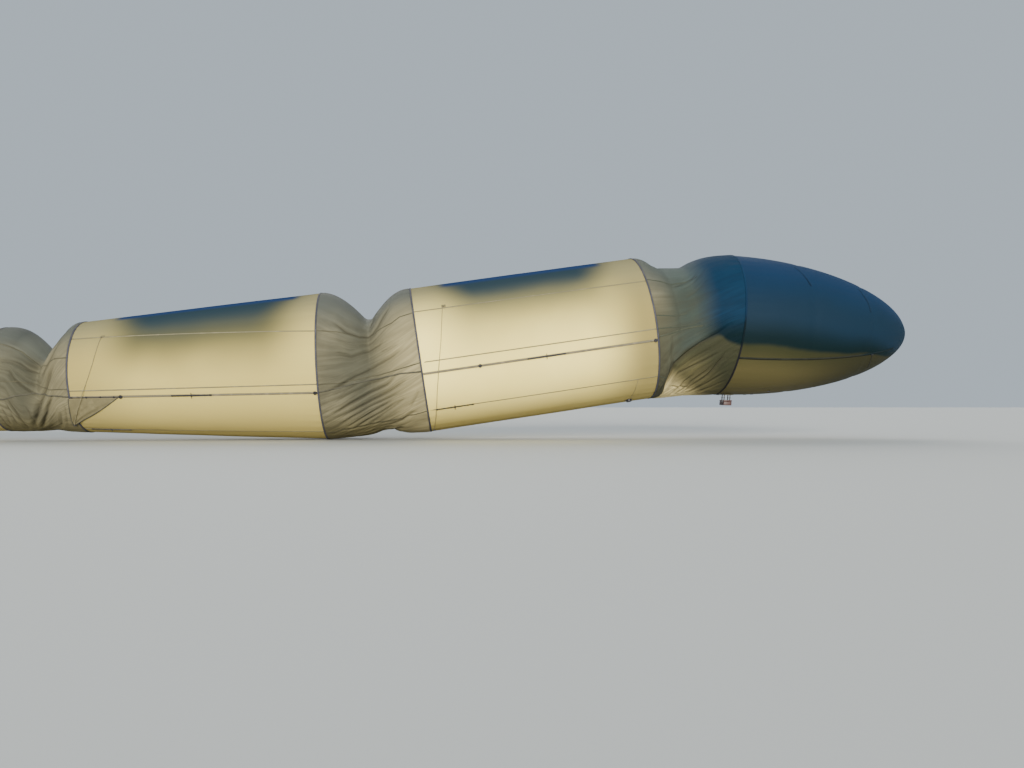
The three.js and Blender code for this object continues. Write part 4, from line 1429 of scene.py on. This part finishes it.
def stayRope(cell, facts, side, hand):
    name = cell["name"]
    path = np.array(facts["path"][name], float)
    (topAt, top), (footAt, foot) = path[0], path[-1]
    degrees = np.linspace(top, foot, facts["rows"])
    along = np.interp(degrees, path[:, 1], path[:, 0])
    over = np.zeros(facts["rows"])
    for rise, risen, sink, sunk in facts["crossings"][name]:
        over = np.maximum(over, smoothStep(rise, risen, degrees) * (1 - smoothStep(sink, sunk, degrees)))
    lift = facts["low"] + (facts["high"][name] - facts["low"]) * over
    points = [onCell(cell, x, side * spot, hullRadius(cell, x) + high)
              for x, spot, high in zip(along, degrees, lift)]
    rope = ropeThrough(f"{name}_stay_rope_{hand}", points, facts["radius"])
    finishPiece(rope, "rope", name, f"{name}_stay_{hand}")
    patch = joinInto(f"{name}_stay_tab_{hand}", [
        block("patch", facts["tab"], (0, 0, 0), 0.0018),
        block("hem", facts["hem"], (0, 0, 0.003), 0.0012),
    ])
    patch.data.transform(hullSeat(cell, topAt + facts["tabForward"], side * top, facts["tabLift"]))
    finishPiece(patch, "patch", name)
    parts, seat = [], facts["cleatLift"][name]
    for at, spot, base, (turn, size, high) in ((topAt, top, 0, facts["topRing"]),
                                               (footAt, foot, seat, facts["footRing"])):
        ring = ringPart("ring", size, facts["wire"])
        ring.data.transform(hullSeat(cell, at, side * (spot + turn), base + high))
        parts.append(ring)
    forward, turn = facts["cleat"]
    for part in cleatParts(0.007, 0.020):
        part.data.transform(hullSeat(cell, footAt + forward, side * (foot + turn), seat))
        parts.append(part)
    finishPiece(joinInto(f"{name}_stay_cleat_{hand}", parts), "fitting", name)


for name in ("aft", "mid", "fore"):
    for side, hand in handSides:
        stayRope(cells[name], stayFacts, side, hand)
print("stays tied")


# Small things along the belly: cleats on the nose, a filling valve on the fore cell, and a short line from
# each.
smallFacts = {
    "cleats": [(0.03, 174), (0.18, 172), (0.25, 164), (0.735, 123)], "cleatLift": -0.004,
    "valve": (0.89, 166), "valveLift": -0.002, "lineRadius": 0.005, "lineRows": 14,
    "lines": [
        ("fore", "valve", "rope", (0.91, 135), (0.893, 161)),
        ("nose", "cleat", "fitting", (0.737, 123.6), (0.76, 149)),
    ],
}


def smallFittings(facts, side, hand):
    nose, fore = cells["nose"], cells["fore"]
    for k, (share, degrees) in enumerate(facts["cleats"]):
        cleat = joinInto(f"nose_cleat_{hand}_{k + 1}", cleatParts(0.009, 0.021))
        cleat.data.transform(filmSeat(nose, share * nose["length"], side * degrees, facts["cleatLift"]))
        finishPiece(cleat, "fitting", "nose")
    share, degrees = facts["valve"]
    valve = turnedPart(f"fore_valve_{hand}", [
        (0, 0.004), (0.085, 0.004), (0.085, 0.009), (0.060, 0.013), (0.056, 0.036), (0.064, 0.041),
        (0.060, 0.050), (0.020, 0.050), (0.016, 0.046), (0, 0.046),
    ])
    valve.data.transform(filmSeat(fore, share * fore["length"], side * degrees, facts["valveLift"]))
    finishPiece(valve, "fitting", "fore")
    for name, kind, look, first, last in facts["lines"]:
        cell, points = cells[name], []
        for share, degrees in np.linspace(first, last, facts["lineRows"]):
            x = share * cell["length"]
            points.append(onCell(cell, x, side * degrees, filmRadius(cell, x) + facts["lineRadius"]))
        line = ropeThrough(f"{name}_{kind}_line_{hand}", points, facts["lineRadius"])
        finishPiece(line, look, name)


for side, hand in handSides:
    smallFittings(smallFacts, side, hand)
print("small fittings set")


# The three-cornered cloth behind each first button of the middle cell, with a rod along its top edge.
panelFacts = {
    "back": -0.03, "front": 1.035, "top": 113.4, "foot": 148, "corner": -0.12, "tip": -0.145,
    "thickness": 0.003, "rows": 44, "columns": 30, "lift": 0.004, "slack": 0.010, "pull": 0.004,
    "overHoop": 0.024, "hoopReach": (0.02, 0.16),
    "hem": 0.020, "hemThickness": 0.003, "hemLift": 0.006, "hemEnds": (0.008, 0.02, 0.012), "share": 0.56,
    "rodRadius": 0.0085, "rodLift": 0.020, "rodEnds": (0.012, 0.02), "keepers": (0.05, 0.35, 0.65, 0.93),
    "keeper": (0.030, 0.036, 0.024), "keeperLift": 0.018,
}


def cornerSheet(cell, facts, side, hand):
    def place(along, down):
        degrees = facts["top"] + (facts["foot"] - facts["top"]) * down
        stop = facts["front"] + (facts["corner"] - facts["front"]) * down
        start = facts["back"] + (facts["tip"] - facts["back"]) * down
        x = start + (stop - start) * along
        slack = np.sin(np.pi * along) * np.sin(np.pi * down) * (0.4 + noise2(along * 5, down * 4, 11))
        over = facts["overHoop"] * (1 - smoothStep(*facts["hoopReach"], x))  # it runs up over the hoop
        pull = np.sin(along * 16 + down * 9) * (1 - down) * down * 4
        high = facts["lift"] + over + facts["slack"] * slack + facts["pull"] * pull
        return onCell(cell, x, side * degrees, filmRadius(cell, x) + high)

    cloth = wrapCloth(f"mid_corner_cloth_{hand}", facts["rows"], facts["columns"], place)
    thicken(cloth, facts["thickness"])
    return finishPiece(cloth, "patch", "mid", f"mid_panel_{hand}")


def cornerHems(cell, facts, side, hand):
    backIn, frontIn, tipIn = facts["hemEnds"]
    tip = (facts["tip"] + tipIn, side * facts["foot"])
    high = facts["overHoop"]

    def backRise(along):
        return high + along * 0

    def lowRise(along):
        return 0.010 * np.sin(np.pi * along) + (high + 0.002) * smoothStep(0.72, 0.92, along)

    hems = []
    for x, rise in ((facts["back"] + backIn, backRise), (facts["front"] - frontIn, lowRise)):
        path = [(x, side * facts["top"]), tip]
        size = facts["hem"], facts["hemThickness"], facts["hemLift"]
        hems.append(hullBand("hem", cell, path, *size, spacing=0.03, rise=rise))
    return finishPiece(joinInto(f"mid_corner_hems_{hand}", hems), "clothStrap", "mid")


def cornerRod(cell, facts, side, hand):
    spot, (rear, front) = side * railFacts["side"]["mid"], facts["rodEnds"]
    along = np.linspace(rear, cell["length"] * railFacts["buttonAt"]["mid"] - front, 24)
    points = [onCell(cell, x, spot, filmRadius(cell, x) + facts["rodLift"]) for x in along]
    parts = [ropeThrough("rod", points, facts["rodRadius"], 14)]
    for x in facts["keepers"]:
        keeper = block("keeper", facts["keeper"], (0, 0, 0), 0.006, 3)
        keeper.data.transform(filmSeat(cell, x, spot, facts["keeperLift"]))
        parts.append(keeper)
    batten = joinInto(f"mid_corner_rod_{hand}", parts)
    finishPiece(batten, "fitting", "mid", f"mid_batten_{hand}")


for side, hand in handSides:
    cloth = cornerSheet(cells["mid"], panelFacts, side, hand)
    hems = cornerHems(cells["mid"], panelFacts, side, hand)
    long = panelFacts["front"] - panelFacts["back"]
    drop = math.radians(panelFacts["foot"] - panelFacts["top"]) * cells["mid"]["rear"]
    panelFacts["share"] * long * drop
    cornerRod(cells["mid"], panelFacts, side, hand)
print("corner cloths laid")


# The box under the nose: a lidded case with latches and rubber feet, hung in webbing loops from a sewn pad.
boxFacts = {
    "x": 0.190, "length": 0.200, "width": 0.320, "height": 0.125, "drop": 0.130, "lid": 0.034, "bevel": 0.009,
    "strap": 0.026, "strapAt": 0.075, "ribs": (-0.09, 0, 0.09), "latchAt": 0.08, "footAt": (0.07, 0.12),
    "pads": 9, "padStep": 1.02, "padWidth": 0.031, "padThickness": 0.006, "padLift": 0.004, "padPast": 0.04,
}


def noseCase(facts, middle, top):
    lid, base = facts["lid"], facts["height"] - facts["lid"]
    size = (facts["length"] - 0.006, facts["width"] - 0.006, base - 0.003)
    parts = [
        block("base", size, (middle, 0, top - lid - base / 2 - 0.0015), facts["bevel"], 4),
        block("lid", (facts["length"], facts["width"], lid), (middle, 0, top - lid / 2), facts["bevel"], 4),
    ]
    for y in facts["ribs"]:
        size = (facts["length"] + 0.001, 0.012, 0.004)
        parts.append(block("rib", size, (middle, y, top - lid - 0.030), 0.0015))
    return joinInto("nose_case", parts)


def noseLatches(facts, middle, top):
    parts, (footX, footY) = [], facts["footAt"]
    seam = top - facts["lid"]
    for way in (-1, 1):
        for y in (-facts["latchAt"], facts["latchAt"]):
            x = middle + way * (facts["length"] / 2 - 0.002)
            parts.append(block("latch", (0.008, 0.028, 0.040), (x, y, seam), 0.003))
            parts.append(block("catch", (0.006, 0.018, 0.012), (x + way * 0.003, y, seam + 0.012), 0.002))
        for y in (-footY, footY):
            at = (middle + way * footX, y, top - facts["height"] + 0.0036)
            parts.append(rod("foot", 0.012, 0.008, at, sides=16, bevel=0.002))
    at = (middle, facts["width"] / 2 - 0.004, top - 0.080)
    parts.append(rod("socket", 0.017, 0.020, at, (math.pi / 2, 0, 0), 20, 0.003))
    return joinInto("nose_case_latches", parts)


def noseHanger(facts, middle, top):
    parts, strap, drop = [], facts["strap"], facts["drop"]
    rows = (-facts["strapAt"], facts["strapAt"])
    for y in rows:
        for x in (facts["x"] + 0.030, facts["x"] + facts["length"] - 0.030):
            parts.append(block("loop", (strap, 0.005, drop), (x, y, top + drop / 2 - 0.004), 0.002))
            parts.append(block("buckle", (0.036, 0.013, 0.026), (x, y, top + drop * 0.45), 0.004))
        parts.append(block("girth", (facts["length"] + 0.007, strap, 0.004), (middle, y, top + 0.001), 0.001))
    for y in rows:
        for way in (-1, 1):
            x = middle + way * (facts["length"] / 2 + 0.002)
            parts.append(block("girth", (0.004, strap, 0.1), (x, y, top - 0.048), 0.001))
    return joinInto("nose_case_webbing", parts)


def nosePad(cell, facts):
    x0, x1 = facts["x"] - facts["padPast"], facts["x"] + facts["length"] + facts["padPast"]
    size = facts["padWidth"], facts["padThickness"], facts["padLift"]
    pads = []
    for k in range(facts["pads"]):
        spot = 180 + (k - facts["pads"] // 2) * facts["padStep"]
        pads.append(hullBand("pad", cell, [(x0, spot), (x1, spot)], *size, spacing=0.04))
    return joinInto("nose_case_pad", pads)


def noseBox(cell, facts):
    top, middle = -cell["rear"] - facts["drop"], facts["x"] + facts["length"] / 2
    pieces = [make(facts, middle, top) for make in (noseCase, noseLatches, noseHanger)]
    turn = Matrix((cell["axis"], Vector((0, 1, 0)), cell["up"])).transposed().to_4x4()
    shear = Matrix.Identity(4)
    shear[2][0] = cell["rise"]
    seat = Matrix.Translation(cell["origin"]) @ turn @ shear
    for piece in pieces:
        piece.data.transform(seat)
    case, latches, hanger = pieces
    finishPiece(case, "box", "nose", "instrument_box")
    finishPiece(latches, "metal", "nose")
    finishPiece(hanger, "fitting", "nose", "box_hanger")
    finishPiece(nosePad(cell, facts), "patch", "nose")


noseBox(cells["nose"], boxFacts)
print("nose box hung")


# The stern: a turned cap over the end of the tail, a small motor with cooling fins, and a two-bladed
# propeller. The heights in its lists are metres behind the part that each one sits on.
sternFacts = {
    "cap": [
        (0, 0.0005), (0.222, 0.0005), (0.229, 0.004), (0.222, 0.010), (0.175, 0.026), (0.158, 0.038),
        (0.150, 0.040), (0, 0.040),
    ],
    "bolts": 12, "boltAt": (0.197, 0.021), "motorAt": 0.0405, "motorRadius": 0.120, "motorCore": 0.104,
    "fins": 9, "finStep": 0.024, "motorEnd": [(0.106, 0.262), (0.098, 0.286), (0.030, 0.289), (0, 0.289)],
    "leads": (2.2, 2.5, 2.8), "leadAt": (0.106, 0.268), "hubAt": 0.336, "neck": (0.022, 0.3303),
    "spinner": [
        (0.085, 0), (0.084, 0.030), (0.080, 0.060), (0.068, 0.110), (0.055, 0.150), (0.030, 0.178), (0, 0.190),
    ],
    "bladeAt": 0.060,
}


def behind(profile, height):
    return [(radius, height - back) for radius, back in profile]


def sternCap(facts, end):
    parts = [turnedPart("stern_cap", behind(facts["cap"], end), 64)]
    out, back = facts["boltAt"]
    for k in range(facts["bolts"]):
        a = 2 * math.pi * k / facts["bolts"]
        parts.append(rod("bolt", 0.006, 0.006, (out * math.cos(a), out * math.sin(a), end - back), sides=6))
    return joinInto("stern_cap", parts)


def sternMotor(facts, back):
    core, wide = facts["motorCore"], facts["motorRadius"]
    profile = [(0, 0), (0.100, 0), (0.112, 0.012)]
    for k in range(facts["fins"]):
        z = (k + 1) * facts["finStep"]
        profile += [(core, z), (core, z + 0.009), (wide, z + 0.011), (wide, z + 0.019), (core, z + 0.021)]
    parts = [turnedPart("stern_motor", behind(profile + facts["motorEnd"], back), 48)]
    out, down = facts["leadAt"]
    for a in facts["leads"]:
        at = (out * math.cos(a), out * math.sin(a), back - down)
        parts.append(rod("terminal", 0.010, 0.026, at, (0, 0, 0), 14, 0.003))
    return joinInto("stern_motor", parts)


def sternPropeller(facts, end):
    hub, (thin, neck) = end - facts["hubAt"], facts["neck"]
    profile = [(0, end - neck), (thin, end - neck), (thin, hub)] + behind(facts["spinner"], hub)
    parts = [turnedPart("spinner", profile, 48)]
    parts += [bladePart(bladeFacts, way, hub - facts["bladeAt"]) for way in (0, 1)]
    return joinInto("stern_propeller", parts)


def sternParts(cell, facts):
    end = -cellFacts["domeDepth"] * cell["rear"] - cellFacts["lip"]
    seat = Matrix.Translation(cell["origin"]) @ cell["axis"].to_track_quat("Z", "Y").to_matrix().to_4x4()
    pieces = [sternCap(facts, end), sternMotor(facts, end - facts["motorAt"]), sternPropeller(facts, end)]
    for piece in pieces:
        piece.data.transform(seat)
    cap, motor, propeller = pieces
    finishPiece(cap, "metal", "tail", "tail_cap")
    finishPiece(motor, "fitting", "tail", "motor")
    finishPiece(propeller, "blade", "propeller", "propeller")


# One blade: a grid drawn out along its span, then each station set to its own distance out, chord, thickness
# and twist in degrees.
bladeFacts = {
    "stations": [
        (0.045, 0.060, 0.030, 38), (0.12, 0.084, 0.022, 32), (0.22, 0.112, 0.016, 25), (0.36, 0.104, 0.012, 18),
        (0.48, 0.086, 0.009, 13), (0.57, 0.062, 0.006, 10), (0.604, 0.028, 0.004, 9),
    ],
    "rowsEach": 4, "columns": 20,
}


def bladePart(facts, way, height):
    table = np.array(facts["stations"])
    rows = facts["rowsEach"] * (len(table) - 1)
    startClean()
    bpy.ops.mesh.primitive_grid_add(x_subdivisions=rows, y_subdivisions=facts["columns"], size=1)
    piece = rename(bpy.context.object, "blade")
    flat = cornersOf(piece)
    at = np.linspace(0, 1, len(table))
    out, chord, thick, twist = (np.interp(flat[:, 0] + 0.5, at, table[:, k]) for k in range(4))
    turn = (flat[:, 1] + 0.5) * 2 * np.pi
    u = 0.5 * np.cos(turn) * chord
    v = 0.5 * np.sin(turn) * thick * (1.15 + 0.45 * np.cos(turn))
    angle = np.radians(twist)
    y, z = u * np.cos(angle) - v * np.sin(angle), u * np.sin(angle) + v * np.cos(angle)
    placed = np.column_stack([out, y, height + z])
    if way:
        placed = placed * (-1, -1, 1)
    piece.data.vertices.foreach_set("co", placed.ravel())
    mend(0.0002, close=True)
    return smoothed(piece)


sternParts(cells["tail"], sternFacts)
print("stern fitted")


# A pale floor under the lowest cloth, and broad soft lights, each with its turn, height, power and softness.
stageFacts = {
    "floor": tone(184, 187, 186), "floorDrop": 0.004, "spread": 900,
    "sky": tone(210, 224, 236), "skyPower": 0.74, "away": 60,
    "lights": [
        ("key", (-94, 5), 11.6, 36, tone(255, 249, 236)),
        ("back", (98, 40), 1.8, 50, tone(255, 250, 244)),
    ],
}


def buildStage(facts):
    bpy.ops.mesh.primitive_plane_add(size=facts["spread"], location=(0, 0, cadBox[0][2] - facts["floorDrop"]))
    floor = bpy.context.object
    floor.name = "floor"
    finish = Finish("plain floor", Roughness=0.9, Base_Color=(*facts["floor"], 1))
    floor.data.materials.append(finish.material)
    world = bpy.data.worlds.new("soft sky")
    bpy.context.scene.world = world
    world.use_nodes = True
    sky = world.node_tree.nodes["Background"]
    sky.inputs[0].default_value = (*facts["sky"], 1)
    sky.inputs[1].default_value = facts["skyPower"]
    for name, (turn, height), power, softness, colour in facts["lights"]:
        turn, height = math.radians(turn), math.radians(height)
        flat = math.cos(height)
        spot = Vector((math.cos(turn) * flat, math.sin(turn) * flat, math.sin(height))) * facts["away"]
        bpy.ops.object.light_add(type="SUN", location=spot)
        light = bpy.context.object
        light.name = name + "_light"
        light.rotation_euler = spot.to_track_quat("Z", "Y").to_euler()
        light.data.energy, light.data.color = power, colour
        light.data.angle = math.radians(softness)


buildStage(stageFacts)
print("stage built")

bpy.context.view_layer.update()
